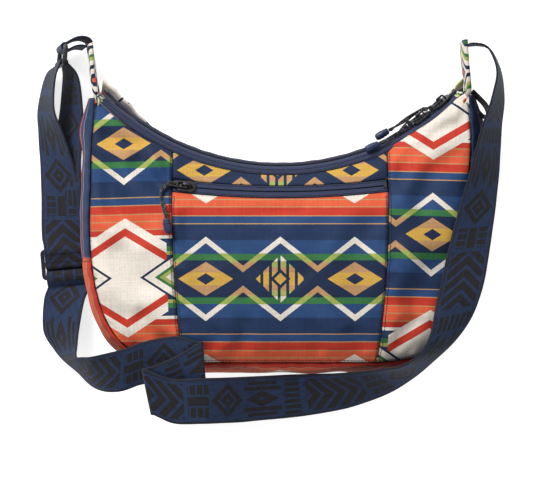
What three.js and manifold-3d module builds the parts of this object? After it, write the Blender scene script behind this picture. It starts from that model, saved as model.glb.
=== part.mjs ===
// Crescent shoulder bag of printed cloth, lying on its back, in millimetres.
// X runs along the bag, Y from its bottom to its curved mouth, Z out of its front.
// The origin is on the flat of the back, under the middle of the bag.
import * as THREE from 'three';
import Module from 'manifold-3d';
import { mergeVertices } from 'three/addons/utils/BufferGeometryUtils.js';

const wasm = await Module();
wasm.setup();

// Cloth, webbing and seams
const CLOTH = 1.6;
const LINING = 0.8;
const SEAM_GAP = 0.35;
const PANEL_INSET = CLOTH + 0.45;
const WEBBING_WIDTH = 40;
const WEBBING = 1.6;

// Right half of the front seam, from the middle of the bottom round to the top corner
const HALF_OUTLINE = [
  [0, -88.5], [50, -88.5], [98, -87.5], [124, -81], [141, -68.5], [153, -50], [161, -26],
  [165.5, 2], [167, 32], [166.3, 62], [164.5, 92], [161.8, 118], [160, 141],
];
const OUTLINE_ABOVE = [[150, 168], [80, 186], [0, 190]];
const BODY_CENTRE = [0, -25];

// Heights of the stuffed body
const MOUTH_FRONT_Z = 57;
const SEAM_RISE = 10;
const SEAM_RISE_LENGTH = 45;
const DOME = 21;
const DOME_POWER = 4;
const MOUTH_FADE = 28;
const MOUTH_BACK_Z = 34;
const BACK_SEAM_SHARE = 0.38;
const BACK_FLAT = 0.62;
const BACK_CURVE_LENGTH = 50;
const GUSSET_BULGE = 9;
const GUSSET_END_BULGE = 3;

// The mouth is an arc about a point above the bag
const MOUTH_CENTRE_Y = 302;
const MOUTH_FRONT_R = 226;
const MOUTH_BACK_R = 216;
const SIDE_SEAM_X = 93.5;
const SIDE_SEAM_SWEEP = 10.5;
const SIDE_SEAM_START_Y = 60;

// Zips: a chain radius, its height, and the tilt of the tapes across the chain
const MAIN_ZIP = { centreY: MOUTH_CENTRE_Y, radius: 217.5, z: 47, tilt: 67.5, end: 45.4 };
const POCKET_ZIP = { centreY: 841, radius: 780, z: 68, tilt: 25, end: 6.8 };
const TAPE = 0.8;
const MAIN_COIL = [0.6, 2.6, -0.3, 1.9];
const POCKET_COIL = [0.6, 2.4, -2.6, -0.8];
const POCKET_TAPE_HALF = 5.5;
const STOP_LENGTH = 3;

// Slider places along their arcs, in degrees
const LEFT_SLIDER_ANGLE = 35.25;
const RIGHT_SLIDER_ANGLE = 41.4;
const POCKET_SLIDER_ANGLE = -5.95;

// Sliders and pulls
const SLIDER_LENGTH = 16;
const SLIDER_HALF_WIDTH = 5.4;
const PLATE = 1.4;
const FLANGE = 1;
const DIVIDER = 0.5;
const BRIDGE_HALF_LENGTH = 4.6;
const BRIDGE_HEIGHT = 4.6;
const BRIDGE_BAR = 1.5;
const BRIDGE_WIDTH = 2.4;
const HINGE_LIFT = 1.45;
const TAB_LENGTH = 13.8;
const TAB_HALF_WIDTH = 3.3;
const TAB = 1.5;
const CORD_HALF_WIDTH = 1.9;
const CORD_HALF_THICKNESS = 0.95;
const CORD_GAP = 1.1;
const CORD_END_LENGTH = 13;
const CORD_END_RADIUS = 3.5;

const DEG = Math.PI / 180;
const bag = new THREE.Group();
bag.name = 'crescent_bag';

const colours = {
  print: 0xe0d6ca,
  red: 0xb93a2c,
  navy: 0x24365c,
  tape: 0x353b56,
  webbing: 0x2b3762,
  lining: 0x3a3f4a,
  moulded: 0x1c1f27,
  coil: 0x23262f,
  cord: 0x202024,
};

function clamp01(value) {
  return Math.min(1, Math.max(0, value));
}

function smooth(value) {
  const t = clamp01(value);
  return t * t * (3 - 2 * t);
}

function addPiece(name, geometry, colour, roughness = 0.85, matrix = null) {
  const material = new THREE.MeshStandardMaterial({ color: colour, roughness, metalness: 0 });
  const mesh = new THREE.Mesh(geometry, material);
  mesh.name = name;
  if (matrix) {
    matrix.decompose(mesh.position, mesh.quaternion, mesh.scale);
  }
  bag.add(mesh);
  return mesh;
}

// Makes an indexed geometry whose faces point out of the solid
function closedGeometry(points, faces) {
  let volume = 0;
  for (const [a, b, c] of faces) {
    volume += points[a].dot(new THREE.Vector3().crossVectors(points[b], points[c]));
  }
  const index = faces.flatMap(([a, b, c]) => (volume > 0 ? [a, b, c] : [a, c, b]));
  const geometry = new THREE.BufferGeometry();
  geometry.setAttribute('position', new THREE.Float32BufferAttribute(points.flatMap((p) => p.toArray()), 3));
  geometry.setIndex(index);
  geometry.computeVertexNormals();
  return geometry;
}

// A sheet with thickness, from two grids of points joined round their edges
function sheetSolid(outer, inner) {
  const rows = outer.length;
  const columns = outer[0].length;
  const points = [...outer.flat(), ...inner.flat()];
  const at = (layer, i, j) => layer * rows * columns + i * columns + j;
  const faces = [];
  const quad = (a, b, c, d) => faces.push([a, b, c], [a, c, d]);
  for (let i = 0; i < rows - 1; i += 1) {
    for (let j = 0; j < columns - 1; j += 1) {
      quad(at(0, i, j), at(0, i, j + 1), at(0, i + 1, j + 1), at(0, i + 1, j));
      quad(at(1, i, j), at(1, i + 1, j), at(1, i + 1, j + 1), at(1, i, j + 1));
    }
  }
  const rim = [];
  for (let j = 0; j < columns - 1; j += 1) rim.push([0, j]);
  for (let i = 0; i < rows - 1; i += 1) rim.push([i, columns - 1]);
  for (let j = columns - 1; j > 0; j -= 1) rim.push([rows - 1, j]);
  for (let i = rows - 1; i > 0; i -= 1) rim.push([i, 0]);
  rim.forEach(([i, j], k) => {
    const [p, q] = rim[(k + 1) % rim.length];
    quad(at(0, p, q), at(0, i, j), at(1, i, j), at(1, p, q));
  });
  return closedGeometry(points, faces);
}

// The unit normal of a grid of points at one of its knots, on the side that inward names
function gridNormal(grid, i, j, inward) {
  const a = grid[Math.min(i + 1, grid.length - 1)][j];
  const b = grid[Math.max(i - 1, 0)][j];
  const c = grid[i][Math.min(j + 1, grid[0].length - 1)];
  const d = grid[i][Math.max(j - 1, 0)];
  const normal = a.clone().sub(b).cross(c.clone().sub(d)).normalize();
  return normal.dot(inward(grid[i][j])) < 0 ? normal.negate() : normal;
}

function thickSheet(outer, thickness, inward) {
  const inner = outer.map((row, i) => row.map((p, j) => (
    p.clone().addScaledVector(gridNormal(outer, i, j, inward), thickness))));
  return sheetSolid(outer, inner);
}

// A solid swept along frames of origin, u and v, from a flat section of [u, v] points
function sweptSolid(sections, frames, closed = false) {
  const count = sections(0).length;
  const points = frames.flatMap((frame, k) => sections(k).map(([a, b]) => (
    frame.origin.clone().addScaledVector(frame.u, a).addScaledVector(frame.v, b))));
  const faces = [];
  const steps = closed ? frames.length : frames.length - 1;
  for (let k = 0; k < steps; k += 1) {
    const next = (k + 1) % frames.length;
    for (let i = 0; i < count; i += 1) {
      const j = (i + 1) % count;
      faces.push([k * count + i, k * count + j, next * count + j]);
      faces.push([k * count + i, next * count + j, next * count + i]);
    }
  }
  if (!closed) {
    const last = (frames.length - 1) * count;
    const flat = (k) => sections(k).map(([a, b]) => new THREE.Vector2(a, b));
    const turn = THREE.ShapeUtils.isClockWise(flat(0)) ? 1 : -1;
    for (const [a, b, c] of THREE.ShapeUtils.triangulateShape(flat(0), [])) {
      faces.push(turn > 0 ? [a, b, c] : [a, c, b]);
    }
    for (const [a, b, c] of THREE.ShapeUtils.triangulateShape(flat(frames.length - 1), [])) {
      faces.push(turn > 0 ? [last + a, last + c, last + b] : [last + a, last + b, last + c]);
    }
  }
  return orientLikeSides(points, faces, count);
}

// Turns the two end caps the same way as the side walls, then the whole solid outwards
function orientLikeSides(points, faces, count) {
  const edges = new Set();
  const caps = [];
  const sides = [];
  for (const face of faces) {
    const rings = new Set(face.map((p) => Math.floor(p / count)));
    (rings.size === 1 ? caps : sides).push(face);
  }
  for (const [a, b, c] of sides) {
    edges.add(`${a},${b}`);
    edges.add(`${b},${c}`);
    edges.add(`${c},${a}`);
  }
  const turned = caps.length && capsClash(caps, edges, count);
  const turnedEnds = new Set(turned || []);
  const fixed = caps.map((face) => {
    const ring = Math.floor(face[0] / count);
    return turnedEnds.has(ring) ? [face[0], face[2], face[1]] : face;
  });
  return closedGeometry(points, [...sides, ...fixed]);
}

function capsClash(caps, edges, count) {
  const rings = new Set();
  for (const [a, b, c] of caps) {
    for (const [p, q] of [[a, b], [b, c], [c, a]]) {
      if (edges.has(`${p},${q}`)) {
        rings.add(Math.floor(a / count));
      }
    }
  }
  return rings;
}

function toManifold(geometry) {
  const bare = geometry.clone();
  bare.deleteAttribute('normal');
  bare.deleteAttribute('uv');
  const merged = mergeVertices(bare, 1e-4);
  return new wasm.Manifold(new wasm.Mesh({
    numProp: 3,
    vertProperties: new Float32Array(merged.attributes.position.array),
    triVerts: new Uint32Array(merged.index.array),
  }));
}

function fromManifold(solid) {
  const mesh = solid.getMesh();
  const geometry = new THREE.BufferGeometry();
  geometry.setAttribute('position', new THREE.BufferAttribute(new Float32Array(mesh.vertProperties), 3));
  geometry.setIndex(new THREE.BufferAttribute(new Uint32Array(mesh.triVerts), 1));
  geometry.computeVertexNormals();
  return geometry;
}

function box(x0, x1, y0, y1, z0, z1) {
  const geometry = new THREE.BoxGeometry(x1 - x0, y1 - y0, z1 - z0);
  geometry.translate((x0 + x1) / 2, (y0 + y1) / 2, (z0 + z1) / 2);
  return geometry;
}

// The outline of the body in plan, by share from the bottom middle (0) to a top corner (1 or -1)
const halfCurve = new THREE.CatmullRomCurve3(
  [...HALF_OUTLINE.slice(1, 3).reverse().map(([x, y]) => [-x, y]), ...HALF_OUTLINE]
    .map(([x, y]) => new THREE.Vector3(x, y, 0)),
  false,
  'centripetal',
);
const OUTLINE_STEPS = 240;
const outlineSamples = makeOutlineSamples();

function makeOutlineSamples() {
  const all = halfCurve.getSpacedPoints(2 * OUTLINE_STEPS);
  const start = all.findIndex((p) => p.x >= 0);
  const right = all.slice(start);
  right[0].x = 0;
  return right;
}

function outlinePoint(share, inset = 0) {
  const position = Math.abs(share) * (outlineSamples.length - 1);
  const k = Math.min(Math.floor(position), outlineSamples.length - 2);
  const a = outlineSamples[k];
  const b = outlineSamples[k + 1];
  const p = a.clone().lerp(b, position - k);
  const along = b.clone().sub(a).normalize();
  p.x -= along.y * inset;
  p.y += along.x * inset;
  p.x *= Math.sign(share) || 1;
  return p;
}

function outlineShareAtX(x) {
  let low = 0;
  let high = 0.5;
  for (let k = 0; k < 30; k += 1) {
    const middle = (low + high) / 2;
    if (outlinePoint(middle).x < x) {
      low = middle;
    } else {
      high = middle;
    }
  }
  return low;
}

// Share of the way from the body's centre to its outline
const polarTable = [...outlineSamples.map((p) => [p.x, p.y]), ...OUTLINE_ABOVE].map(([x, y]) => {
  const dx = x - BODY_CENTRE[0];
  const dy = y - BODY_CENTRE[1];
  return [Math.atan2(dx, -dy), Math.hypot(dx, dy)];
});

function outwardShare(x, y) {
  const dx = Math.abs(x - BODY_CENTRE[0]);
  const dy = y - BODY_CENTRE[1];
  const angle = Math.atan2(dx, -dy);
  const k = Math.max(1, polarTable.findIndex(([a]) => a >= angle));
  const [a0, r0] = polarTable[k - 1];
  const [a1, r1] = polarTable[k];
  const radius = r0 + (r1 - r0) * clamp01((angle - a0) / (a1 - a0));
  return Math.hypot(dx, dy) / radius;
}

function mouthRadius(x, y) {
  return Math.hypot(x, MOUTH_CENTRE_Y - y);
}

function seamHeight(x, y) {
  const below = Math.max(0, mouthRadius(x, y) - MOUTH_FRONT_R);
  return MOUTH_FRONT_Z + SEAM_RISE * (1 - Math.exp(-below / SEAM_RISE_LENGTH));
}

// Height of the front: a dome between the seams, eased into the straight run of the pocket zip
function frontHeight(x, y) {
  const below = Math.max(0, mouthRadius(x, y) - MOUTH_FRONT_R);
  const share = Math.min(1, outwardShare(x, y));
  const dome = DOME * (1 - share ** DOME_POWER) * (1 - Math.exp(-below / MOUTH_FADE));
  const plain = seamHeight(x, y) + dome;
  const across = Math.hypot(x, POCKET_ZIP.centreY - y) - POCKET_ZIP.radius;
  const cone = POCKET_ZIP.z + across * Math.tan(POCKET_ZIP.tilt * DEG);
  const near = Math.exp(-((across / 13) ** 2)) * smooth((124 - Math.abs(x)) / 30);
  const underMouth = smooth(below / 9);
  return plain + (cone - plain) * near * underMouth;
}

function backHeight(x, y) {
  const side = smooth((outwardShare(x, y) - BACK_FLAT) / (1 - BACK_FLAT)) ** 1.6;
  const top = clamp01(1 - (mouthRadius(x, y) - MOUTH_BACK_R) / BACK_CURVE_LENGTH) ** 3.2;
  return MOUTH_BACK_Z * (1 - (1 - BACK_SEAM_SHARE * side) * (1 - top));
}

function sideSeamX(y) {
  const down = clamp01((SIDE_SEAM_START_Y - y) / 148.5);
  return SIDE_SEAM_X - SIDE_SEAM_SWEEP * down * down;
}

function arcPoint(x, radius, centreY) {
  return new THREE.Vector3(x, centreY - Math.sqrt(radius * radius - x * x), 0);
}

// A patch between four edges in plan: bottom and top run left to right, left and right run upwards
function coonsPatch(bottom, top, left, right, columns, rows) {
  const grid = [];
  for (let i = 0; i <= rows; i += 1) {
    const v = i / rows;
    const row = [];
    for (let j = 0; j <= columns; j += 1) {
      const u = j / columns;
      const ruledV = bottom(u).multiplyScalar(1 - v).addScaledVector(top(u), v);
      const ruledU = left(v).multiplyScalar(1 - u).addScaledVector(right(v), u);
      const corners = bottom(0).multiplyScalar((1 - u) * (1 - v))
        .addScaledVector(bottom(1), u * (1 - v))
        .addScaledVector(top(0), (1 - u) * v)
        .addScaledVector(top(1), u * v);
      row.push(ruledV.add(ruledU).sub(corners));
    }
    grid.push(row);
  }
  return grid;
}

function raised(grid, height) {
  return grid.map((row) => row.map((p) => new THREE.Vector3(p.x, p.y, height(p.x, p.y))));
}

const downwards = () => new THREE.Vector3(0, 0, -1);
const upwards = () => new THREE.Vector3(0, 0, 1);

// Body panels

const seamBottomShare = outlineShareAtX(sideSeamX(-88));
const CORNER_SHARE = outlineShareAtX(141);

function sidePanelEdge(sign, shift) {
  const foot = outlinePoint(seamBottomShare, PANEL_INSET).y;
  const head = arcPoint(SIDE_SEAM_X, MOUTH_FRONT_R + SEAM_GAP, MOUTH_CENTRE_Y).y;
  return (v) => {
    const y = foot + (head - foot) * v;
    return new THREE.Vector3(sign * (sideSeamX(y) + shift), y, 0);
  };
}

function sidePanel(sign) {
  const inner = sidePanelEdge(sign, SEAM_GAP / 2);
  const outline = (share) => outlinePoint(sign * share, PANEL_INSET);
  const cornerTop = outline(0.995);
  const outer = (v) => (v < 1 ? outline(CORNER_SHARE + (0.995 - CORNER_SHARE) * v) : cornerTop.clone());
  const footX = Math.abs(inner(0).x);
  const footShare = outlineShareAtX(footX);
  const foot = (u) => {
    const p = outline(footShare + (CORNER_SHARE - footShare) * u);
    return u === 0 ? inner(0) : p;
  };
  const headStart = inner(1);
  const headSpan = (u) => {
    const x = headStart.x + (cornerTop.x - headStart.x) * u;
    const p = arcPoint(x, MOUTH_FRONT_R + SEAM_GAP, MOUTH_CENTRE_Y);
    return u === 1 ? cornerTop.clone() : p;
  };
  const grid = raised(coonsPatch(foot, headSpan, inner, outer, 9, 15), frontHeight);
  return thickSheet(grid, CLOTH, downwards);
}

addPiece('front_left_panel', sidePanel(-1), colours.print);
addPiece('front_right_panel', sidePanel(1), colours.print);

function middleEdges(shift) {
  const left = (y) => new THREE.Vector3(-(sideSeamX(y) - shift), y, 0);
  const right = (y) => new THREE.Vector3(sideSeamX(y) - shift, y, 0);
  return { left, right };
}

function zipEdge(offset) {
  const half = SIDE_SEAM_X - SEAM_GAP / 2;
  return (u) => arcPoint(-half + 2 * half * u, POCKET_ZIP.radius + offset, POCKET_ZIP.centreY);
}

function frontYoke() {
  const bottom = zipEdge(-POCKET_TAPE_HALF * Math.cos(POCKET_ZIP.tilt * DEG) - 2 * SEAM_GAP);
  const half = SIDE_SEAM_X - SEAM_GAP / 2;
  const top = (u) => arcPoint(-half + 2 * half * u, MOUTH_FRONT_R + SEAM_GAP, MOUTH_CENTRE_Y);
  const side = (sign) => (v) => {
    const u = sign > 0 ? 1 : 0;
    return bottom(u).lerp(top(u), v);
  };
  const grid = raised(coonsPatch(bottom, top, side(-1), side(1), 24, 4), frontHeight);
  return thickSheet(grid, CLOTH, downwards);
}

function pocketPanel() {
  const top = zipEdge(POCKET_TAPE_HALF * Math.cos(POCKET_ZIP.tilt * DEG) + 2 * SEAM_GAP);
  const foot = outlinePoint(seamBottomShare, PANEL_INSET).y;
  const edges = middleEdges(SEAM_GAP / 2);
  const head = top(0).y;
  const left = (v) => edges.left(foot + (head - foot) * v);
  const right = (v) => edges.right(foot + (head - foot) * v);
  const footX = right(0).x;
  const bottom = (u) => {
    const x = -footX + 2 * footX * u;
    if (u === 0 || u === 1) {
      return u === 0 ? left(0) : right(0);
    }
    const share = outlineShareAtX(Math.abs(x));
    const p = outlinePoint(share, PANEL_INSET);
    p.x = x;
    return p;
  };
  const grid = raised(coonsPatch(bottom, top, left, right, 20, 14), frontHeight);
  return thickSheet(grid, CLOTH, downwards);
}

addPiece('front_yoke', frontYoke(), colours.print);
addPiece('pocket_panel', pocketPanel(), colours.print);

function backPanel() {
  const outline = (share) => outlinePoint(share, PANEL_INSET);
  const cornerX = outline(1).x;
  const head = (u) => arcPoint(-cornerX + 2 * cornerX * u, MOUTH_BACK_R + SEAM_GAP, MOUTH_CENTRE_Y);
  const side = (sign) => (v) => {
    const split = 0.93;
    if (v <= split) {
      return outline(sign * (CORNER_SHARE + (1 - CORNER_SHARE) * (v / split)));
    }
    return outline(sign).lerp(head(sign > 0 ? 1 : 0), (v - split) / (1 - split));
  };
  const bottom = (u) => outline(CORNER_SHARE * (2 * u - 1));
  const grid = raised(coonsPatch(bottom, head, side(-1), side(1), 30, 17), backHeight);
  return thickSheet(grid, CLOTH, upwards);
}

addPiece('back_panel', backPanel(), colours.print);

function gussetPoint(share, across, inset = 0) {
  const seam = outlinePoint(share, 0);
  const front = seamHeight(seam.x, seam.y);
  const back = backHeight(seam.x, seam.y);
  const nearEnd = smooth((1 - Math.abs(share)) / 0.25);
  const bulge = GUSSET_END_BULGE + (GUSSET_BULGE - GUSSET_END_BULGE) * nearEnd;
  const p = outlinePoint(share, inset - bulge * Math.sin(Math.PI * across));
  p.z = front + (back - front) * across;
  return p;
}

function gusset() {
  const along = 64;
  const across = 6;
  const grid = [];
  for (let i = 0; i <= along; i += 1) {
    const share = -1 + (2 * i) / along;
    const row = [];
    for (let j = 0; j <= across; j += 1) {
      row.push(gussetPoint(share, j / across));
    }
    grid.push(row);
  }
  const inward = (p) => new THREE.Vector3(-p.x, 20 - p.y, 0);
  return thickSheet(grid, CLOTH, inward);
}

addPiece('gusset', gusset(), colours.red);

// Lining: a pouch inside the body, open at the mouth
function liningSolid(clear, lift) {
  const steps = 14;
  const half = 9;
  const reach = 150 - clear;
  const sections = [];
  for (let k = 0; k <= steps; k += 1) {
    const x = reach * (-1 + (2 * k) / steps);
    const shareFoot = outlineShareAtX(Math.abs(x));
    const foot = outlinePoint(shareFoot).y + 5 + clear;
    const head = arcPoint(x, MOUTH_FRONT_R + 10, MOUTH_CENTRE_Y).y + lift;
    const front = [];
    const back = [];
    for (let i = 0; i <= half; i += 1) {
      const y = head + (foot - head) * (i / half);
      const rounding = 10 * (1 - Math.sqrt(1 - (i / half) ** 6));
      front.push([y, frontHeight(x, Math.min(y, 140)) - 13 - clear - rounding]);
      back.push([y, backHeight(x, y) + 5 + clear + rounding]);
    }
    sections.push([...front, ...back.reverse()]);
  }
  const frames = sections.map((section, k) => ({
    origin: new THREE.Vector3(reach * (-1 + (2 * k) / steps), 0, 0),
    u: new THREE.Vector3(0, 1, 0),
    v: new THREE.Vector3(0, 0, 1),
  }));
  return sweptSolid((k) => sections[k], frames);
}

function liningPouch() {
  const outside = toManifold(liningSolid(0, 0));
  const inside = toManifold(liningSolid(LINING, 6));
  return fromManifold(outside.subtract(inside));
}

addPiece('main_lining', liningPouch(), colours.lining);

// Inner wall of the front pocket, hung behind the pocket panel
function pocketBag() {
  const half = 84;
  const depth = 8.5;
  const top = (u) => arcPoint(-half + 2 * half * u, POCKET_ZIP.radius - 4, POCKET_ZIP.centreY);
  const bottom = (u) => new THREE.Vector3(-half + 2 * half * u + 8 * (0.5 - u), -52, 0);
  const side = (u) => (v) => bottom(u).lerp(top(u), v);
  const flat = coonsPatch(bottom, top, side(0), side(1), 12, 8);
  return thickSheet(raised(flat, (x, y) => frontHeight(x, y) - depth), LINING, downwards);
}

addPiece('pocket_bag', pocketBag(), colours.lining);

// Zips: everything along a chain is a section turned about the chain's centre

function zipFrame(zip, angle) {
  const radial = new THREE.Vector3(Math.sin(angle * DEG), -Math.cos(angle * DEG), 0);
  const up = new THREE.Vector3(0, 0, 1);
  const cos = Math.cos(zip.tilt * DEG);
  const sin = Math.sin(zip.tilt * DEG);
  return {
    along: new THREE.Vector3(Math.cos(angle * DEG), Math.sin(angle * DEG), 0),
    across: radial.clone().multiplyScalar(cos).addScaledVector(up, sin),
    normal: radial.clone().multiplyScalar(-sin).addScaledVector(up, cos),
    origin: new THREE.Vector3(0, zip.centreY, zip.z).addScaledVector(radial, zip.radius),
    radial,
    up,
  };
}

// A point beside the chain: degrees along it, then across it to the front, then out from it
function zipPoint(zip, angle, across, out) {
  const frame = zipFrame(zip, angle);
  return frame.origin.addScaledVector(frame.across, across).addScaledVector(frame.normal, out);
}

function zipMatrix(zip, angle) {
  const frame = zipFrame(zip, angle);
  const matrix = new THREE.Matrix4();
  matrix.makeBasis(frame.along, frame.across.clone().negate(), frame.normal);
  matrix.setPosition(frame.origin);
  return matrix;
}

function turnedSolid(zip, section, from, to, steps) {
  const frames = [];
  for (let k = 0; k <= steps; k += 1) {
    const frame = zipFrame(zip, from + ((to - from) * k) / steps);
    frames.push({ origin: frame.origin, u: frame.across, v: frame.normal });
  }
  return sweptSolid(() => section, frames);
}

// A strip of even thickness along a bent line, as a closed section
function stripSection(line, thickness) {
  const side = (sign) => line.map((p, k) => {
    const a = line[Math.max(k - 1, 0)];
    const b = line[Math.min(k + 1, line.length - 1)];
    const length = Math.hypot(b[0] - a[0], b[1] - a[1]);
    const half = (sign * thickness) / 2;
    return [p[0] - ((b[1] - a[1]) / length) * half, p[1] + ((b[0] - a[0]) / length) * half];
  });
  return [...side(1), ...side(-1).reverse()];
}

// Turns a point given by its radius and height into the zip's own across and out
function acrossAndOut(zip, radius, z) {
  const cos = Math.cos(zip.tilt * DEG);
  const sin = Math.sin(zip.tilt * DEG);
  const dr = radius - zip.radius;
  const dz = z - zip.z;
  return [dr * cos + dz * sin, -dr * sin + dz * cos];
}

const COIL_EDGE = MAIN_COIL[1] + 0.3;
const TAPE_BEND = 6.6;
const frontTapeLine = [
  [COIL_EDGE, 0], [TAPE_BEND, 0], acrossAndOut(MAIN_ZIP, MOUTH_FRONT_R - 0.1, MOUTH_FRONT_Z - 0.6),
];
const backTapeLine = [
  [-COIL_EDGE, 0], [-TAPE_BEND, 0], acrossAndOut(MAIN_ZIP, MOUTH_BACK_R + 0.6, MOUTH_BACK_Z + 0.9),
];
const mainSweep = [-MAIN_ZIP.end, MAIN_ZIP.end, 40];
addPiece('main_zip_front_tape', turnedSolid(MAIN_ZIP, stripSection(frontTapeLine, TAPE), ...mainSweep), colours.tape);
addPiece('main_zip_back_tape', turnedSolid(MAIN_ZIP, stripSection(backTapeLine, TAPE), ...mainSweep), colours.tape);

// Half of a coil, a bar with its edges taken off
function coilSection([near, far, low, high], sign) {
  const cut = 0.45;
  return [
    [near, low + cut], [near + cut, low], [far - cut, low], [far, low + cut],
    [far, high - cut], [far - cut, high], [near + cut, high], [near, high - cut],
  ].map(([a, b]) => [sign * a, b]);
}

const stopAngle = (zip) => (STOP_LENGTH / zip.radius) / DEG;
function addCoils(zip, coil, prefix, steps, names) {
  names.forEach((name, k) => {
    const section = coilSection(coil, k === 0 ? 1 : -1);
    addPiece(`${prefix}_coil_${name}`, turnedSolid(zip, section, -zip.end, zip.end, steps), colours.coil, 0.5);
  });
}
addCoils(MAIN_ZIP, MAIN_COIL, 'main_zip', 40, ['front', 'back']);
addCoils(POCKET_ZIP, POCKET_COIL, 'pocket_zip', 12, ['lower', 'upper']);

const pocketTape = (sign) => stripSection(
  [[sign * POCKET_COIL[0], 0], [sign * POCKET_TAPE_HALF, 0]],
  TAPE,
);
const pocketSweep = [-POCKET_ZIP.end, POCKET_ZIP.end, 12];
addPiece('pocket_zip_lower_tape', turnedSolid(POCKET_ZIP, pocketTape(1), ...pocketSweep), colours.tape);
addPiece('pocket_zip_upper_tape', turnedSolid(POCKET_ZIP, pocketTape(-1), ...pocketSweep), colours.tape);

// Stops, one across each end of each chain
function addStops(zip, coil, prefix, low) {
  [[-1, 'left'], [1, 'right']].forEach(([side, name]) => {
    const half = coil[1] + 0.2;
    const section = [[-half, low], [half, low], [half, low + 1.1], [-half, low + 1.1]];
    const far = side * zip.end;
    const near = side * (zip.end - stopAngle(zip));
    addPiece(`${prefix}_stop_${name}`, turnedSolid(zip, section, near, far, 2), colours.moulded, 0.45);
  });
}
addStops(MAIN_ZIP, MAIN_COIL, 'main_zip', MAIN_COIL[3] + 0.3);
addStops(POCKET_ZIP, POCKET_COIL, 'pocket_zip', TAPE / 2 + 0.3);

// A slider: two plates joined by the divider between the tapes, flanges, and a bridge on top.
// Its own x runs along the chain, y across it and z out of it.
function sliderGeometry(plateLow, plateHigh, flangeLow) {
  const half = SLIDER_LENGTH / 2;
  const outline = new THREE.Shape();
  outline.moveTo(-half, -SLIDER_HALF_WIDTH + 1.6);
  outline.quadraticCurveTo(-half, -SLIDER_HALF_WIDTH + 0.6, -half + 1.2, -SLIDER_HALF_WIDTH + 0.5);
  outline.lineTo(half - 5, -SLIDER_HALF_WIDTH);
  outline.quadraticCurveTo(half - 1, -SLIDER_HALF_WIDTH, half, -1.2);
  outline.lineTo(half, 1.2);
  outline.quadraticCurveTo(half - 1, SLIDER_HALF_WIDTH, half - 5, SLIDER_HALF_WIDTH);
  outline.lineTo(-half + 1.2, SLIDER_HALF_WIDTH - 0.5);
  outline.quadraticCurveTo(-half, SLIDER_HALF_WIDTH - 0.6, -half, SLIDER_HALF_WIDTH - 1.6);
  outline.closePath();
  const plate = (low) => {
    const geometry = new THREE.ExtrudeGeometry(outline, {
      depth: PLATE, bevelEnabled: false, curveSegments: 4,
    });
    geometry.translate(0, 0, low);
    return toManifold(geometry);
  };
  const flangeEnd = half - 5.2;
  const flange = (sign) => {
    const outer = sign * (SLIDER_HALF_WIDTH - 0.45);
    const inner = outer - sign * FLANGE;
    return toManifold(box(
      -half + 1.6,
      flangeEnd,
      Math.min(outer, inner),
      Math.max(outer, inner),
      flangeLow,
      plateHigh + 0.2,
    ));
  };
  const bite = 0.3;
  const divider = toManifold(
    box(2.2, half - 1.4, -DIVIDER / 2, DIVIDER / 2, plateLow - bite, plateHigh + bite),
  );
  const arch = new THREE.Shape();
  const top = plateHigh + PLATE;
  const foot = top - 0.3;
  const outer = BRIDGE_HALF_LENGTH;
  const inner = BRIDGE_HALF_LENGTH - BRIDGE_BAR;
  arch.moveTo(-outer, foot);
  arch.lineTo(-outer + 0.5, top + BRIDGE_HEIGHT - 1.2);
  arch.lineTo(-outer + 1.8, top + BRIDGE_HEIGHT);
  arch.lineTo(outer - 1.8, top + BRIDGE_HEIGHT);
  arch.lineTo(outer - 0.5, top + BRIDGE_HEIGHT - 1.2);
  arch.lineTo(outer, foot);
  arch.lineTo(inner, foot);
  arch.lineTo(inner - 0.3, top + BRIDGE_HEIGHT - BRIDGE_BAR);
  arch.lineTo(-inner + 0.3, top + BRIDGE_HEIGHT - BRIDGE_BAR);
  arch.lineTo(-inner, foot);
  arch.closePath();
  const bridge = new THREE.ExtrudeGeometry(arch, { depth: BRIDGE_WIDTH, bevelEnabled: false });
  bridge.translate(0, 0, -BRIDGE_WIDTH / 2);
  bridge.rotateX(Math.PI / 2);
  let solid = plate(plateLow - PLATE).add(plate(plateHigh)).add(divider);
  solid = solid.add(flange(1)).add(flange(-1)).add(toManifold(bridge));
  return fromManifold(solid);
}

// A pull tab with an eye round the bridge and a slot for the cord, pointing to minus x
function tabGeometry(hingeZ) {
  const outline = new THREE.Shape();
  const near = TAB / 2;
  outline.moveTo(near, -TAB_HALF_WIDTH);
  outline.lineTo(near, TAB_HALF_WIDTH);
  outline.lineTo(-TAB_LENGTH + 3, TAB_HALF_WIDTH - 0.5);
  outline.quadraticCurveTo(-TAB_LENGTH, TAB_HALF_WIDTH - 0.8, -TAB_LENGTH, 0);
  outline.quadraticCurveTo(-TAB_LENGTH, -TAB_HALF_WIDTH + 0.8, -TAB_LENGTH + 3, -TAB_HALF_WIDTH + 0.5);
  outline.closePath();
  const eye = new THREE.Path();
  eye.moveTo(-near, -1.9);
  eye.lineTo(-7.4, -1.9);
  eye.lineTo(-7.4, 1.9);
  eye.lineTo(-near, 1.9);
  eye.closePath();
  const slot = new THREE.Path();
  slot.moveTo(-TAB_LENGTH + 4.6, -1.5);
  slot.lineTo(-TAB_LENGTH + 2, -1.2);
  slot.lineTo(-TAB_LENGTH + 2, 1.2);
  slot.lineTo(-TAB_LENGTH + 4.6, 1.5);
  slot.closePath();
  outline.holes.push(eye, slot);
  const geometry = new THREE.ExtrudeGeometry(outline, {
    depth: TAB, bevelEnabled: false, curveSegments: 5,
  });
  geometry.translate(0, 0, hingeZ - TAB / 2);
  return geometry;
}

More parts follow.
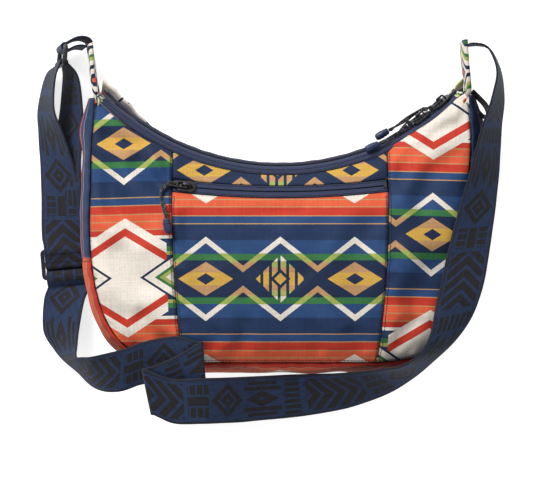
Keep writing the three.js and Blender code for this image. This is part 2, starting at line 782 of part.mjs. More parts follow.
function cordGeometry(points) {
  const section = new THREE.Shape();
  for (let k = 0; k < 8; k += 1) {
    const angle = (k + 0.5) * (Math.PI / 4);
    const x = CORD_HALF_THICKNESS * Math.cos(angle);
    const y = CORD_HALF_WIDTH * Math.sin(angle);
    if (k === 0) {
      section.moveTo(x, y);
    } else {
      section.lineTo(x, y);
    }
  }
  section.closePath();
  const path = new THREE.CatmullRomCurve3(points, false, 'centripetal');
  return new THREE.ExtrudeGeometry(section, {
    steps: Math.ceil(path.getLength() / (2 * 2 * CORD_HALF_THICKNESS)),
    bevelEnabled: false,
    extrudePath: path,
  });
}

// The moulded end of a cord, a waisted barrel along its own y
function cordEndGeometry() {
  const half = CORD_END_LENGTH / 2;
  const radius = CORD_END_RADIUS;
  const profile = [
    [0, -half], [radius * 0.55, -half], [radius * 0.86, -half + 1.2], [radius, -half * 0.35],
    [radius * 0.96, half * 0.4], [radius * 0.84, half - 1.4], [radius * 0.5, half], [0, half],
  ];
  return new THREE.LatheGeometry(profile.map(([x, y]) => new THREE.Vector2(x, y)), 14);
}

function endMatrix(start, direction) {
  const way = direction.clone().normalize();
  const centre = start.clone().addScaledVector(way, CORD_END_LENGTH / 2 + SEAM_GAP);
  const turn = new THREE.Quaternion().setFromUnitVectors(new THREE.Vector3(0, 1, 0), way);
  return new THREE.Matrix4().compose(centre, turn, new THREE.Vector3(1, 1, 1));
}

function addPull(zip, angle, name, hingeZ, cordPoints, plateLow, plateHigh, flangeLow) {
  const matrix = zipMatrix(zip, angle);
  addPiece(`${name}_slider`, sliderGeometry(plateLow, plateHigh, flangeLow), colours.moulded, 0.4, matrix);
  addPiece(`${name}_pull_tab`, tabGeometry(hingeZ), colours.moulded, 0.4, matrix);
  const points = cordPoints(new THREE.Vector3(-TAB_LENGTH - CORD_GAP, 0, hingeZ).applyMatrix4(matrix));
  addPiece(`${name}_pull_cord`, cordGeometry(points), colours.cord);
  const last = points[points.length - 1];
  const before = points[points.length - 2];
  addPiece(`${name}_cord_end`, cordEndGeometry(), colours.navy, 0.5, endMatrix(last, last.clone().sub(before)));
}

const MAIN_PLATES = [-TAPE / 2 - 0.6, MAIN_COIL[3] + 0.4, TAPE / 2 + 0.4];
const MAIN_HINGE = MAIN_PLATES[1] + PLATE + HINGE_LIFT;
const POCKET_PLATES = [POCKET_COIL[2] - 0.6, TAPE / 2 + 0.4, TAPE / 2 + 0.3];
const POCKET_HINGE = POCKET_PLATES[1] + PLATE + HINGE_LIFT;

// Cord routes beside the main zip: degrees along, across to the front, out from the chain
const LEFT_PULL_ROUTE = [[31.3, 0, 5.15], [29.6, 2, 4.3], [27.4, 5, 3.9], [25.3, 7, 3.9], [23.5, 7.6, 4.1]];
const RIGHT_PULL_ROUTE = [
  [37.4, -0.9, 6.2], [37, -3.6, 6.7], [36.2, -6.6, 7], [34.6, -8.6, 6.4], [31.8, -9.2, 5.8], [29.4, -9.6, 5.2],
  [27.2, -9.8, 4.8],
];
const alongMain = (route) => () => route.map((p) => zipPoint(MAIN_ZIP, ...p));
addPull(MAIN_ZIP, LEFT_SLIDER_ANGLE, 'main_left', MAIN_HINGE, alongMain(LEFT_PULL_ROUTE), ...MAIN_PLATES);
addPull(MAIN_ZIP, RIGHT_SLIDER_ANGLE, 'main_right', MAIN_HINGE, alongMain(RIGHT_PULL_ROUTE), ...MAIN_PLATES);

// The pocket pull hangs over the front; it clears the highest cloth on its way along the zip
const POCKET_PULL_ROUTE = [[-102.4, 63], [-103, 57], [-101, 50], [-99, 43.5], [-98, 38]];
function clearOfFront(x, y) {
  const radius = Math.hypot(x, POCKET_ZIP.centreY - y);
  const start = Math.atan2(x, POCKET_ZIP.centreY - y);
  let highest = -Infinity;
  for (let turn = 0; turn <= 2 * -POCKET_SLIDER_ANGLE; turn += 0.5) {
    const angle = start + turn * DEG;
    const px = radius * Math.sin(angle);
    const py = POCKET_ZIP.centreY - radius * Math.cos(angle);
    highest = Math.max(highest, frontHeight(px, py));
  }
  return highest + CORD_HALF_THICKNESS + 0.8;
}
const CORD_END_LIFT = CORD_END_RADIUS - CORD_HALF_THICKNESS + 0.4;
function alongFront(start) {
  const last = POCKET_PULL_ROUTE.length - 1;
  return [start, ...POCKET_PULL_ROUTE.map(([x, y], k) => {
    const lift = CORD_END_LIFT * clamp01((k - last + 3) / 2);
    return new THREE.Vector3(x, y, clearOfFront(x, y) + lift);
  })];
}
addPull(POCKET_ZIP, POCKET_SLIDER_ANGLE, 'pocket', POCKET_HINGE, alongFront, ...POCKET_PLATES);

// Webbing and loops are ribbons: each station of one holds its outer and its inner edge

function edges(rows) {
  return rows.map(([outer, inner]) => ({
    outer: new THREE.Vector3(...outer),
    inner: new THREE.Vector3(...inner),
  }));
}

function station(middle, across, width) {
  const half = across.clone().normalize().multiplyScalar(width / 2);
  return { outer: middle.clone().sub(half), inner: middle.clone().add(half) };
}

function middleOf({ outer, inner }) {
  return outer.clone().add(inner).multiplyScalar(0.5);
}

// Fills in between the stations of a ribbon, so that a few of them make a smooth run
function smoothRun(stations, step) {
  const outer = new THREE.CatmullRomCurve3(stations.map((s) => s.outer), false, 'centripetal');
  const inner = new THREE.CatmullRomCurve3(stations.map((s) => s.inner), false, 'centripetal');
  const last = stations.length - 1;
  const run = [];
  for (let k = 0; k < last; k += 1) {
    const length = middleOf(stations[k]).distanceTo(middleOf(stations[k + 1]));
    const parts = Math.max(1, Math.round(length / step));
    for (let i = 0; i < parts; i += 1) {
      const t = (k + i / parts) / last;
      run.push({ outer: outer.getPoint(t), inner: inner.getPoint(t) });
    }
  }
  run.push(stations[last]);
  return run;
}

function ribbonSolid(stations, thickness, columns = 2) {
  const grid = stations.map(({ outer, inner }) => {
    const row = [];
    for (let j = 0; j <= columns; j += 1) {
      row.push(outer.clone().lerp(inner, j / columns));
    }
    return row;
  });
  const faces = [0.5, -0.5].map((side) => grid.map((row, i) => row.map((p, j) => {
    const along = grid[Math.min(i + 1, grid.length - 1)][j].clone().sub(grid[Math.max(i - 1, 0)][j]);
    const across = row[columns].clone().sub(row[0]);
    const normal = along.cross(across).normalize();
    return p.clone().addScaledVector(normal, side * thickness);
  })));
  return sheetSolid(faces[0], faces[1]);
}

// Stations turned round a bar: its centre, two directions across it, the webbing's own
// direction along it, the radius of the middle of the webbing, and degrees from and to
function turnedStations(centre, first, second, along, radius, from, to, steps, width) {
  const stations = [];
  for (let k = 0; k <= steps; k += 1) {
    const angle = (from + ((to - from) * k) / steps) * DEG;
    const middle = centre.clone()
      .addScaledVector(first, radius * Math.cos(angle))
      .addScaledVector(second, radius * Math.sin(angle));
    stations.push(station(middle, along, width));
  }
  return stations;
}

// Gathered loops of print at the two corners: middle, direction of the width, width
const LOOP_THICKNESS = 5.5;
const LEFT_LOOP = [
  [[-160.6, 142.6, 43.5], [0, 0, 1], 10], [[-161.4, 149.6, 43], [0, -0.1, 1], 12],
  [[-163.2, 157.5, 40.5], [0, 0.1, 1], 16], [[-164.6, 166, 36.5], [0, 0.2, 1], 25],
  [[-166.3, 178, 31], [0.05, 0.2, 1], 34], [[-168.5, 191.4, 26.5], [0.15, 0.05, 1], 38],
];
const RIGHT_LOOP = [
  [[161.5, 142.6, 43.5], [0, 0, 1], 12], [[164.6, 149.5, 45], [0, 0, 1], 22],
  [[163.9, 160, 46], [0, 0, 1], 30], [[162.2, 175.4, 46], [0, 0, 1], 37],
  [[160.9, 193.5, 46], [0, 0, 1], 38],
];
const loopStations = (rows) => rows.map(([middle, across, width]) => (
  station(new THREE.Vector3(...middle), new THREE.Vector3(...across), width)));
addPiece('left_loop', ribbonSolid(smoothRun(loopStations(LEFT_LOOP), 6), LOOP_THICKNESS), colours.print);
addPiece('right_loop', ribbonSolid(smoothRun(loopStations(RIGHT_LOOP), 8), LOOP_THICKNESS), colours.print);

// Moulded ring between the left loop and the strap, seen on edge from the front
const RING_CENTRE = new THREE.Vector3(-193.1, 182.3, 26);
const RING_LONG = new THREE.Vector3(0.21, 0, 0.977).normalize();
const RING_SHORT = new THREE.Vector3(-0.09, -0.996, 0.019).normalize();
const RING_BAR = 4.2;
const RING_HALF_LONG = 22.9;
const RING_HALF_SHORT = 7.2;
const RING_CORNER = 3;

function ringGeometry() {
  const path = [];
  const corners = [[1, 1, 0], [-1, 1, 90], [-1, -1, 180], [1, -1, 270]];
  for (const [a, b, start] of corners) {
    for (let k = 0; k <= 3; k += 1) {
      const angle = (start + 30 * k) * DEG;
      const long = a * (RING_HALF_LONG - RING_CORNER) + RING_CORNER * Math.cos(angle);
      const short = b * (RING_HALF_SHORT - RING_CORNER) + RING_CORNER * Math.sin(angle);
      const outward = RING_LONG.clone().multiplyScalar(Math.cos(angle))
        .addScaledVector(RING_SHORT, Math.sin(angle));
      const origin = RING_CENTRE.clone().addScaledVector(RING_LONG, long)
        .addScaledVector(RING_SHORT, short);
      path.push({ origin, u: outward, v: RING_LONG.clone().cross(RING_SHORT) });
    }
  }
  const section = [];
  for (let k = 0; k < 8; k += 1) {
    const angle = (k + 0.5) * 45 * DEG;
    section.push([(RING_BAR / 2) * Math.cos(angle), (RING_BAR / 2) * Math.sin(angle)]);
  }
  return sweptSolid(() => section, path, true);
}
addPiece('strap_ring', ringGeometry(), colours.moulded, 0.4);

const WRAP_RADIUS = RING_BAR / 2 + WEBBING / 2 + SEAM_GAP;
const RING_FIRST = new THREE.Vector3().crossVectors(RING_LONG, new THREE.Vector3(0, 1, 0)).negate();
const RING_SECOND = new THREE.Vector3(0, 1, 0);
const ringBar = (side) => RING_CENTRE.clone().addScaledVector(RING_SHORT, side * RING_HALF_SHORT);

// Doubled webbing from the left loop round the upper bar of the ring and back
const ANCHOR_WIDTH = 38;
const ANCHOR_OUTER = [[-168.4, 193.3], [-171, 196.3], [-176, 198], [-182, 197.4], [-187.6, 194.9]];
const ANCHOR_INNER = [[-188.6, 187.2], [-184, 189.4], [-179, 190.4], [-173.2, 189.7]];
const RING_MIDDLE_Z = 26;
function anchorWebbing() {
  const flat = ([x, y]) => station(new THREE.Vector3(x, y, RING_MIDDLE_Z), RING_LONG, ANCHOR_WIDTH);
  const wrap = turnedStations(
    ringBar(-1),
    RING_FIRST,
    RING_SECOND,
    RING_LONG,
    WRAP_RADIUS,
    80,
    270,
    7,
    ANCHOR_WIDTH,
  );
  return ribbonSolid([...ANCHOR_OUTER.map(flat), ...wrap, ...ANCHOR_INNER.map(flat)], WEBBING, 1);
}
addPiece('anchor_webbing', anchorWebbing(), colours.webbing);

// Three-bar adjuster on the strap: places in it are given down the strap and up from the ground
const ADJUSTER_CENTRE = new THREE.Vector3(-190, -1.3, 0);
const ADJUSTER_TURN = 5 * DEG;
const ADJUSTER_MIDDLE_Z = 5.8;
const ADJUSTER_LENGTH = 48.6;
const ADJUSTER_HEIGHT = 27.9;
const ADJUSTER_THICKNESS = 2.6;
const ADJUSTER_BAR = 4.5;
const ADJUSTER_SLOT = 7.2;
const ADJUSTER_SLOT_LENGTH = 41.2;

function adjusterGeometry() {
  const half = ADJUSTER_LENGTH / 2;
  const high = ADJUSTER_HEIGHT / 2;
  const bow = 1.2;
  const outline = new THREE.Shape();
  outline.moveTo(-half + 5, -high);
  outline.lineTo(half - 5, -high);
  outline.quadraticCurveTo(half - bow, -high, half - bow / 2, -high + 6);
  outline.quadraticCurveTo(half, 0, half - bow / 2, high - 6);
  outline.quadraticCurveTo(half - bow, high, half - 5, high);
  outline.lineTo(-half + 5, high);
  outline.quadraticCurveTo(-half + bow, high, -half + bow / 2, high - 6);
  outline.quadraticCurveTo(-half, 0, -half + bow / 2, -high + 6);
  outline.quadraticCurveTo(-half + bow, -high, -half + 5, -high);
  for (const side of [-1, 1]) {
    const near = side * (ADJUSTER_BAR / 2);
    const far = side * (ADJUSTER_BAR / 2 + ADJUSTER_SLOT);
    const reach = ADJUSTER_SLOT_LENGTH / 2;
    const slot = new THREE.Path();
    slot.moveTo(-reach, near);
    slot.lineTo(reach, near);
    slot.lineTo(reach, far);
    slot.lineTo(-reach, far);
    slot.closePath();
    outline.holes.push(slot);
  }
  const geometry = new THREE.ExtrudeGeometry(outline, {
    depth: ADJUSTER_THICKNESS, bevelEnabled: false, curveSegments: 5,
  });
  geometry.translate(0, 0, -ADJUSTER_THICKNESS / 2);
  return geometry;
}

function adjusterMatrix() {
  const matrix = new THREE.Matrix4().makeRotationZ(ADJUSTER_TURN);
  return matrix.setPosition(ADJUSTER_CENTRE.x, ADJUSTER_CENTRE.y, ADJUSTER_MIDDLE_Z);
}
addPiece('strap_adjuster', adjusterGeometry(), colours.moulded, 0.4, adjusterMatrix());

const ADJUSTER_ALONG = new THREE.Vector3(Math.cos(ADJUSTER_TURN), Math.sin(ADJUSTER_TURN), 0);
const ADJUSTER_DOWN = new THREE.Vector3(Math.sin(ADJUSTER_TURN), -Math.cos(ADJUSTER_TURN), 0);
function inAdjuster([down, z]) {
  const middle = ADJUSTER_CENTRE.clone().addScaledVector(ADJUSTER_DOWN, down);
  middle.z = z;
  return station(middle, ADJUSTER_ALONG, WEBBING_WIDTH);
}

// Shoulder strap, one length of webbing. It is sewn round the middle bar of the adjuster,
// runs up to the ring, comes back down through the adjuster, round the bag's lower corner,
// folds over twice on the front and goes up the right side to the right loop.
const SEWN_LOOP = 2.45;
const SEWN_END = [[-2, 3.35], [-0.4, 3.35]];
const SEWN_TOP = [[-2, 8.35], [-6, 9.4], [-9.4, 10.5], [-13.9, 10.7], [-17.5, 10]];
const FRONT_BRANCH = [
  [[-213.1, 20.2, 7.2], [-173.4, 20.2, 11.6]], [[-213.9, 55.3, 4.5], [-176.3, 55, 18.1]],
  [[-215, 85, 2.6], [-181.9, 84.1, 25]], [[-216.8, 113.7, 2.4], [-190.8, 112.1, 32.8]],
  [[-217.2, 136.1, 3.2], [-198.6, 133.8, 38.6]], [[-208.8, 168.3, 5.6], [-196.8, 164.2, 43.5]],
];
const BACK_BRANCH = [
  [[-194.4, 166.5, 6], [-178.4, 165.2, 42.6]], [[-197.4, 136.1, 3.5], [-173.8, 134, 35.7]],
  [[-201.1, 113.7, 2.4], [-174.5, 112.1, 32.3]], [[-206.6, 85, 1.7], [-176.3, 84, 27.8]],
  [[-210.2, 55.3, 1.6], [-174.8, 54.9, 20.2]], [[-212.8, 25, 1.8], [-173.5, 25, 9.1]],
];
const THROUGH_ADJUSTER = [
  [-20, 3.4], [-16.4, 6.9], [-13.9, 8.5], [-11.7, 8.6], [-9.2, 8.5], [-7.2, 6.6], [-5.8, 3.9],
  [-4.5, 1.9], [-2.6, 1.4], [2.6, 1.4], [4.6, 1.75], [6.3, 3.6], [7.2, 6.2], [9.2, 8.5],
  [11.7, 8.6], [13.9, 8.5], [16.4, 6.9], [20, 3.6],
];
const LOWER_LEG = [
  [[-212, -34.6, 1.5], [-174, -33.3, 13.9]], [[-211.9, -63.9, 2.5], [-178.4, -61.5, 24.2]],
  [[-202.1, -78.8, 8], [-178.4, -73.9, 39.9]], [[-192.4, -88.1, 17], [-177.6, -82.8, 53.8]],
  [[-178.5, -98.5, 28], [-170.3, -82.6, 63.8]], [[-166.4, -108.3, 42.8], [-161.8, -81.3, 72]],
  [[-153.5, -112.6, 57.6], [-148.4, -78, 77]], [[-137.1, -111.7, 67.8], [-133.6, -74, 80.5]],
  [[-121.4, -106.2, 68.5], [-120.5, -68.9, 83]], [[-103.8, -102.8, 73.5], [-103.2, -64.7, 85.5]],
  [[-86.3, -102.7, 80.9], [-86, -63.2, 87.2]], [[-75, -106, 83], [-76.1, -66.3, 87.6]],
];
const FOLD_RIGHT = [[-65.9, -108.4, 85], [-68.8, -67.6, 89.5]];
const BETWEEN_FOLDS = [
  [[-75.9, -116.4, 83], [-89.2, -79.8, 91.5]], [[-89.6, -122.4, 82.6], [-102.9, -85.8, 91.3]],
];
const FOLD_LEFT = [[-108.4, -130.8, 84.5], [-115.8, -90.4, 93]];
const FOLD_RADIUS = 2;
const FRONT_RUN = [
  [[-91.1, -137.9, 86.8], [-94.2, -98.7, 94]], [[-66.3, -138.1, 87.9], [-67.8, -98.5, 93]],
  [[-50.2, -138.3, 79.4], [-50.1, -98.7, 85]], [[-33.1, -138.6, 66.6], [-33.1, -98.9, 72]],
  [[-15.8, -138.1, 52.9], [-16.7, -98.9, 61]], [[20.2, -135.4, 42.1], [15.6, -97.8, 55]],
  [[63.2, -127.2, 42.8], [49.3, -96.3, 64]], [[102.4, -111.2, 47.9], [80.8, -92.7, 76]],
  [[134, -84.6, 67.7], [106.9, -86.3, 97]], [[159, -58.5, 69.4], [125.4, -67.9, 89]],
  [[173.3, -27.3, 73.3], [134.6, -32.2, 82]], [[183.5, 21.9, 63.5], [146.5, 19.3, 78.5]],
  [[191.8, 77.2, 48], [162.7, 76.2, 75.5]], [[195.5, 118.1, 35.7], [174.1, 116.2, 69.5]],
  [[198.3, 145.9, 29.9], [183.5, 143.2, 67]], [[195.3, 170.1, 26.8], [187.9, 166.7, 66]],
  [[185.4, 189.2, 26.5], [180.1, 186.4, 66]], [[177.4, 191.6, 26.5], [173.2, 189.4, 66]],
  [[166, 191.2, 26.6], [164.6, 189.8, 65.8]],
];

// A fold over a crease: half a turn from under it to over it, bulging to one side
function foldStations([outer, inner], side) {
  const stations = [];
  for (let k = 0; k <= 6; k += 1) {
    const angle = (-90 + 30 * k) * DEG;
    const shift = new THREE.Vector3(side * Math.cos(angle), 0, Math.sin(angle));
    shift.multiplyScalar(FOLD_RADIUS);
    stations.push({
      outer: new THREE.Vector3(...outer).add(shift),
      inner: new THREE.Vector3(...inner).add(shift),
    });
  }
  return stations;
}

function strapStations() {
  const sewnCentre = inAdjuster([1.4, ADJUSTER_MIDDLE_Z]);
  const sewn = turnedStations(
    middleOf(sewnCentre),
    ADJUSTER_DOWN,
    new THREE.Vector3(0, 0, 1),
    ADJUSTER_ALONG,
    SEWN_LOOP,
    -90,
    90,
    6,
    WEBBING_WIDTH,
  );
  const overRing = turnedStations(
    ringBar(1),
    RING_FIRST,
    RING_SECOND,
    RING_LONG,
    WRAP_RADIUS,
    190,
    -10,
    8,
    WEBBING_WIDTH,
  );
  const up = smoothRun([...SEWN_TOP.slice(-1).map(inAdjuster), ...edges(FRONT_BRANCH), overRing[0]], 18);
  const down = smoothRun([overRing[overRing.length - 1], ...edges(BACK_BRANCH)], 18);
  const foldRight = foldStations(FOLD_RIGHT, 1);
  const foldLeft = foldStations(FOLD_LEFT, -1);
  const corner = smoothRun([inAdjuster(THROUGH_ADJUSTER[17]), ...edges(LOWER_LEG), foldRight[0]], 11);
  const between = smoothRun([foldRight[6], ...edges(BETWEEN_FOLDS), foldLeft[0]], 11);
  const front = smoothRun([foldLeft[6], ...edges(FRONT_RUN)], 13);
  return [
    ...SEWN_END.map(inAdjuster), ...sewn, ...SEWN_TOP.slice(0, -1).map(inAdjuster),
    ...up, ...overRing.slice(1, -1), ...down, ...THROUGH_ADJUSTER.slice(0, -1).map(inAdjuster),
    ...corner, ...foldRight.slice(1, -1), ...between, ...foldLeft.slice(1, -1), ...front,
  ];
}
addPiece('shoulder_strap', ribbonSolid(strapStations(), WEBBING), colours.webbing);

// Small loop of tape beside the right corner
const SIDE_LOOP_WIDTH = 12;
const SIDE_LOOP_Z = 44;
const SIDE_LOOP = [
  [168.3, 150.1], [174.6, 143.9], [180.7, 136.9], [182.5, 130.8], [179, 127.3], [171.9, 133.4],
  [165.6, 138.6],
];
function sideLoop() {
  const stations = SIDE_LOOP.map(([x, y]) => (
    station(new THREE.Vector3(x, y, SIDE_LOOP_Z), new THREE.Vector3(0, 0, 1), SIDE_LOOP_WIDTH)));
  return ribbonSolid(smoothRun(stations, 4), WEBBING, 1);
}
addPiece('side_tape_loop', sideLoop(), colours.cord);

export default bag;
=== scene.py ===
# %% [markdown]
# # A crescent shoulder bag of printed cloth
# The bag lies on its back on a pale floor, and the camera looks straight down on its front.
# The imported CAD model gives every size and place. Each cell below makes one piece or one finish,
# and says first what it is on the real bag and why it is made in this way.

# %% Load the frame
import math
import bmesh
import bpy
import numpy as np
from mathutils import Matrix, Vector, noise


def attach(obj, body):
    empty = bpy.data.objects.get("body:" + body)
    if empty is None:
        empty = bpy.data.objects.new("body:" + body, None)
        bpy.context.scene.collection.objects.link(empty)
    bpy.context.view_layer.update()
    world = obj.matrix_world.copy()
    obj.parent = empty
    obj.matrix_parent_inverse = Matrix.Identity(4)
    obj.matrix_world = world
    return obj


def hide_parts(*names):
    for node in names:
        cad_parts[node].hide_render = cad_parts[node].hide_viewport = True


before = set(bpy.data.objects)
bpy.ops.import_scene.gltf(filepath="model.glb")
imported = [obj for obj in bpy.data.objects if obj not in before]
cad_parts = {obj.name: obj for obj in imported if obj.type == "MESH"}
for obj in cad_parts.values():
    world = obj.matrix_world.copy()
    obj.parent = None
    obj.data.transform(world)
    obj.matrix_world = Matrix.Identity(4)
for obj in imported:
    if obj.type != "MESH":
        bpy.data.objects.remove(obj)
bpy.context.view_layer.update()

MM = 0.001

# %% [markdown]
# ## Camera
# The photograph was taken from far off with a long lens, so a 135 mm lens 1.8 m above the back
# of the bag gives the same slight perspective. The camera is made before the pieces.

# %% Camera
CAMERA_HEIGHT = 1.8
CAMERA_X = -0.0119
CAMERA_Y = 0.0189
STRAP_HEIGHT = 0.04
PIXEL_AT_STRAP = 0.00088
PHOTO_WIDTH = 533
SENSOR_WIDTH = 36


def linked(name, data):
    """A new object in the scene, which holds a mesh, a curve, a lamp or a camera"""
    holder = bpy.data.objects.new(name, data)
    bpy.context.scene.collection.objects.link(holder)
    return holder


camera_data = bpy.data.cameras.new("camera")
camera_data.sensor_width = SENSOR_WIDTH
camera_data.lens = SENSOR_WIDTH * (CAMERA_HEIGHT - STRAP_HEIGHT) / (PHOTO_WIDTH * PIXEL_AT_STRAP)
camera = linked("camera", camera_data)
camera.location = (CAMERA_X, CAMERA_Y, CAMERA_HEIGHT)
bpy.context.scene.camera = camera
print("lens", round(camera_data.lens, 1), "mm")

# %% [markdown]
# ## Small tools for meshes
# Most cloth pieces are grids of points. One function turns a grid into a thin closed sheet with
# its own UV map in metres, so that a weave or a print has its true size on every piece.

# %% Lines of points
TINY = 1e-9


def run_of(points):
    """How far along a line each of its points lies"""
    return np.concatenate([[0], np.cumsum(np.linalg.norm(np.diff(points, axis=0), axis=1))])


def catmull(points, per_span=12):
    """A smooth curve through points, with even knots by the root of each chord"""
    p = np.asarray(points, float)
    p = np.vstack([2 * p[0] - p[1], p, 2 * p[-1] - p[-2]])
    out = []
    for k in range(1, len(p) - 2):
        d0, d1, d2 = (max(np.linalg.norm(p[k + j] - p[k + j - 1]) ** 0.5, 1e-4) for j in (0, 1, 2))
        t1 = ((p[k] - p[k - 1]) / d0 - (p[k + 1] - p[k - 1]) / (d0 + d1) + (p[k + 1] - p[k]) / d1) * d1
        t2 = ((p[k + 1] - p[k]) / d1 - (p[k + 2] - p[k]) / (d1 + d2) + (p[k + 2] - p[k + 1]) / d2) * d1
        for t in np.arange(per_span) / per_span:
            c2 = -3 * p[k] + 3 * p[k + 1] - 2 * t1 - t2
            c3 = 2 * p[k] - 2 * p[k + 1] + t1 + t2
            out.append(p[k] + t1 * t + c2 * t * t + c3 * t ** 3)
    out.append(p[-2])
    return np.array(out)


def resampled(points, count):
    """The same line with its points spaced evenly"""
    points = np.asarray(points, float)
    far = run_of(points)
    places = np.linspace(0, far[-1], count)
    return np.stack([np.interp(places, far, points[:, k]) for k in range(points.shape[1])], 1)


def smooth_step(value):
    """0 below 0, 1 above 1, and a soft rise between them"""
    t = np.clip(value, 0, 1)
    return t * t * (3 - 2 * t)


print("a square is", run_of([(0, 0), (1, 0), (1, 1), (0, 1), (0, 0)])[-1], "round")

# %% Mesh helpers
def new_mesh(name, points, faces, uvs=None):
    """points in millimetres; uvs one pair in metres for each point"""
    mesh = bpy.data.meshes.new(name)
    mesh.from_pydata([tuple(float(c) * MM for c in p) for p in points], [], [tuple(f) for f in faces])
    mesh.update()
    if uvs is not None:
        layer = mesh.uv_layers.new(name="cloth")
        loops = np.zeros(len(mesh.loops), np.int32)
        mesh.loops.foreach_get("vertex_index", loops)
        layer.data.foreach_set("uv", np.asarray(uvs, np.float32)[loops].ravel())
    mesh.shade_smooth()
    return linked(name, mesh)


def grid_normals(grid):
    """Unit normals of a grid of points, shaped like the grid"""
    down = np.gradient(grid, axis=0)
    along = np.gradient(grid, axis=1)
    normal = np.cross(down, along)
    return normal / np.maximum(np.linalg.norm(normal, axis=2, keepdims=True), TINY)


def closed_faces(rows, columns, sign=1):
    """Faces of a grid, of a second grid behind it, and of the rim between the two.

    A grid's own normal is rows crossed with columns, and sign -1 turns the faces the other way.
    """
    count = rows * columns
    index = np.arange(count).reshape(rows, columns)
    a, b = index[:-1, :-1].ravel(), index[:-1, 1:].ravel()
    c, d = index[1:, 1:].ravel(), index[1:, :-1].ravel()
    top = np.stack([a, d, c, b] if sign > 0 else [a, b, c, d], 1)
    rim = [*index[0, :-1], *index[:-1, -1], *index[-1, :0:-1], *index[:0:-1, 0]]
    sides = [(p, q, q + count, p + count) if sign > 0 else (q, p, p + count, q + count)
             for p, q in zip(rim, rim[1:] + rim[:1])]
    return np.concatenate([top, top[:, ::-1] + count, np.array(sides)])


def sheet(name, outer, thickness, outwards, uv):
    """A closed sheet: the outer grid, a copy of it pushed inwards, and a rim between them.

    outwards is the direction that the middle of the sheet faces, more or less.
    """
    rows, columns = outer.shape[:2]
    normal = grid_normals(outer)
    sign = 1.0 if np.dot(normal[rows // 2, columns // 2], outwards) > 0 else -1.0
    inner = outer - normal * sign * thickness
    points = np.concatenate([outer.reshape(-1, 3), inner.reshape(-1, 3)])
    uvs = np.concatenate([uv.reshape(-1, 2)] * 2)
    return new_mesh(name, points, closed_faces(rows, columns, sign), uvs)


def dress(piece, material, body, node=None):
    """Gives a piece its finish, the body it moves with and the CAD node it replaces"""
    if material:
        piece.data.materials.append(material)
    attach(piece, body)
    if node:
        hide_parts(node)
    return piece


print("a sheet of 3 by 4 points has", len(closed_faces(3, 4)), "faces")

# %% [markdown]
# ## The shape of the stuffed body
# Seen from the front the body is a crescent: a flat bottom with round corners, sides that rise
# to two horns, and a mouth cut by an arc. Its front bulges between the seams and its back lies
# flat in the middle. Two height functions give both surfaces, so every panel, zip and seam that
# lies on them fits its neighbours.

# %% Outline
HALF_OUTLINE = [
    (0, -88.5), (50, -88.5), (98, -87.5), (124, -81), (141, -68.5), (153, -50), (161, -26),
    (165.5, 2), (167, 32), (166.3, 62), (164.5, 92), (161.8, 118), (160, 141),
]
MOUTH_CENTRE_Y, MOUTH_FRONT_R, MOUTH_BACK_R = 302, 226, 216
SEAM_GAP, CLOTH = 0.35, 1.6
POCKET_CENTRE_Y, POCKET_R, POCKET_Z, POCKET_TILT = 841, 780, 68, 25
MAIN_R, MAIN_Z, MAIN_TILT = 217.5, 47, 67.5
FRONT_RIM_Z, BACK_RIM_Z = 57, 34
BODY_MIDDLE_Y = -25
PANEL_SEAM_X = 93.5

half_curve = catmull([(-x, y) for x, y in HALF_OUTLINE[2:0:-1]] + HALF_OUTLINE, 40)
half_curve = resampled(half_curve, 900)
half_curve = half_curve[half_curve[:, 0] >= 0]
half_curve[0, 0] = 0
half_curve = resampled(half_curve, 400)
half_way = np.gradient(half_curve, axis=0)
half_way /= np.linalg.norm(half_way, axis=1, keepdims=True)


def outline_point(share, inset=0.0):
    """Points of the outline by share, from the bottom middle (0) to a top corner (1 or -1)"""
    share = np.asarray(share, float)
    at = np.abs(share) * (len(half_curve) - 1)
    k = np.arange(len(half_curve))
    x, y = np.interp(at, k, half_curve[:, 0]), np.interp(at, k, half_curve[:, 1])
    wx, wy = np.interp(at, k, half_way[:, 0]), np.interp(at, k, half_way[:, 1])
    sign = np.where(share < 0, -1.0, 1.0)
    return np.stack([sign * (x - wy * inset), y + wx * inset], -1)


def outline_share_at_x(x):
    """The share at which the lower half of the outline reaches x"""
    low = half_curve[: len(half_curve) // 2, 0]
    return np.interp(x, low, np.arange(len(low)) / (len(half_curve) - 1))


print("outline from", half_curve[0].round(1), "to", half_curve[-1].round(1))

# %% Heights
polar = np.concatenate([half_curve[::4], [(150, 168), (80, 186), (0, 190)]]) - [0, BODY_MIDDLE_Y]
polar_angle = np.arctan2(polar[:, 0], -polar[:, 1])
polar_radius = np.hypot(polar[:, 0], polar[:, 1])


def outward_share(x, y):
    """0 in the middle of the body and 1 on its outline"""
    dx, dy = np.abs(x), y - BODY_MIDDLE_Y
    return np.hypot(dx, dy) / np.interp(np.arctan2(dx, -dy), polar_angle, polar_radius)


def mouth_radius(x, y):
    return np.hypot(x, MOUTH_CENTRE_Y - y)


def seam_height(x, y):
    """Height of the seam between the front and the gusset, lowest at the mouth"""
    below = np.maximum(0, mouth_radius(x, y) - MOUTH_FRONT_R)
    return FRONT_RIM_Z + 10 * (1 - np.exp(-below / 45))


def front_height(x, y):
    """The stuffed front: it bulges between the seams, and leans to the zip beside the pocket zip"""
    below = np.maximum(0, mouth_radius(x, y) - MOUTH_FRONT_R)
    share = np.minimum(1, outward_share(x, y))
    plain = seam_height(x, y) + 21 * (1 - share ** 4) * (1 - np.exp(-below / 28))
    across = np.hypot(x, POCKET_CENTRE_Y - y) - POCKET_R
    cone = POCKET_Z + across * math.tan(math.radians(POCKET_TILT))
    near = np.exp(-((across / 13) ** 2)) * smooth_step((124 - np.abs(x)) / 30)
    return plain + (cone - plain) * near * smooth_step(below / 9)


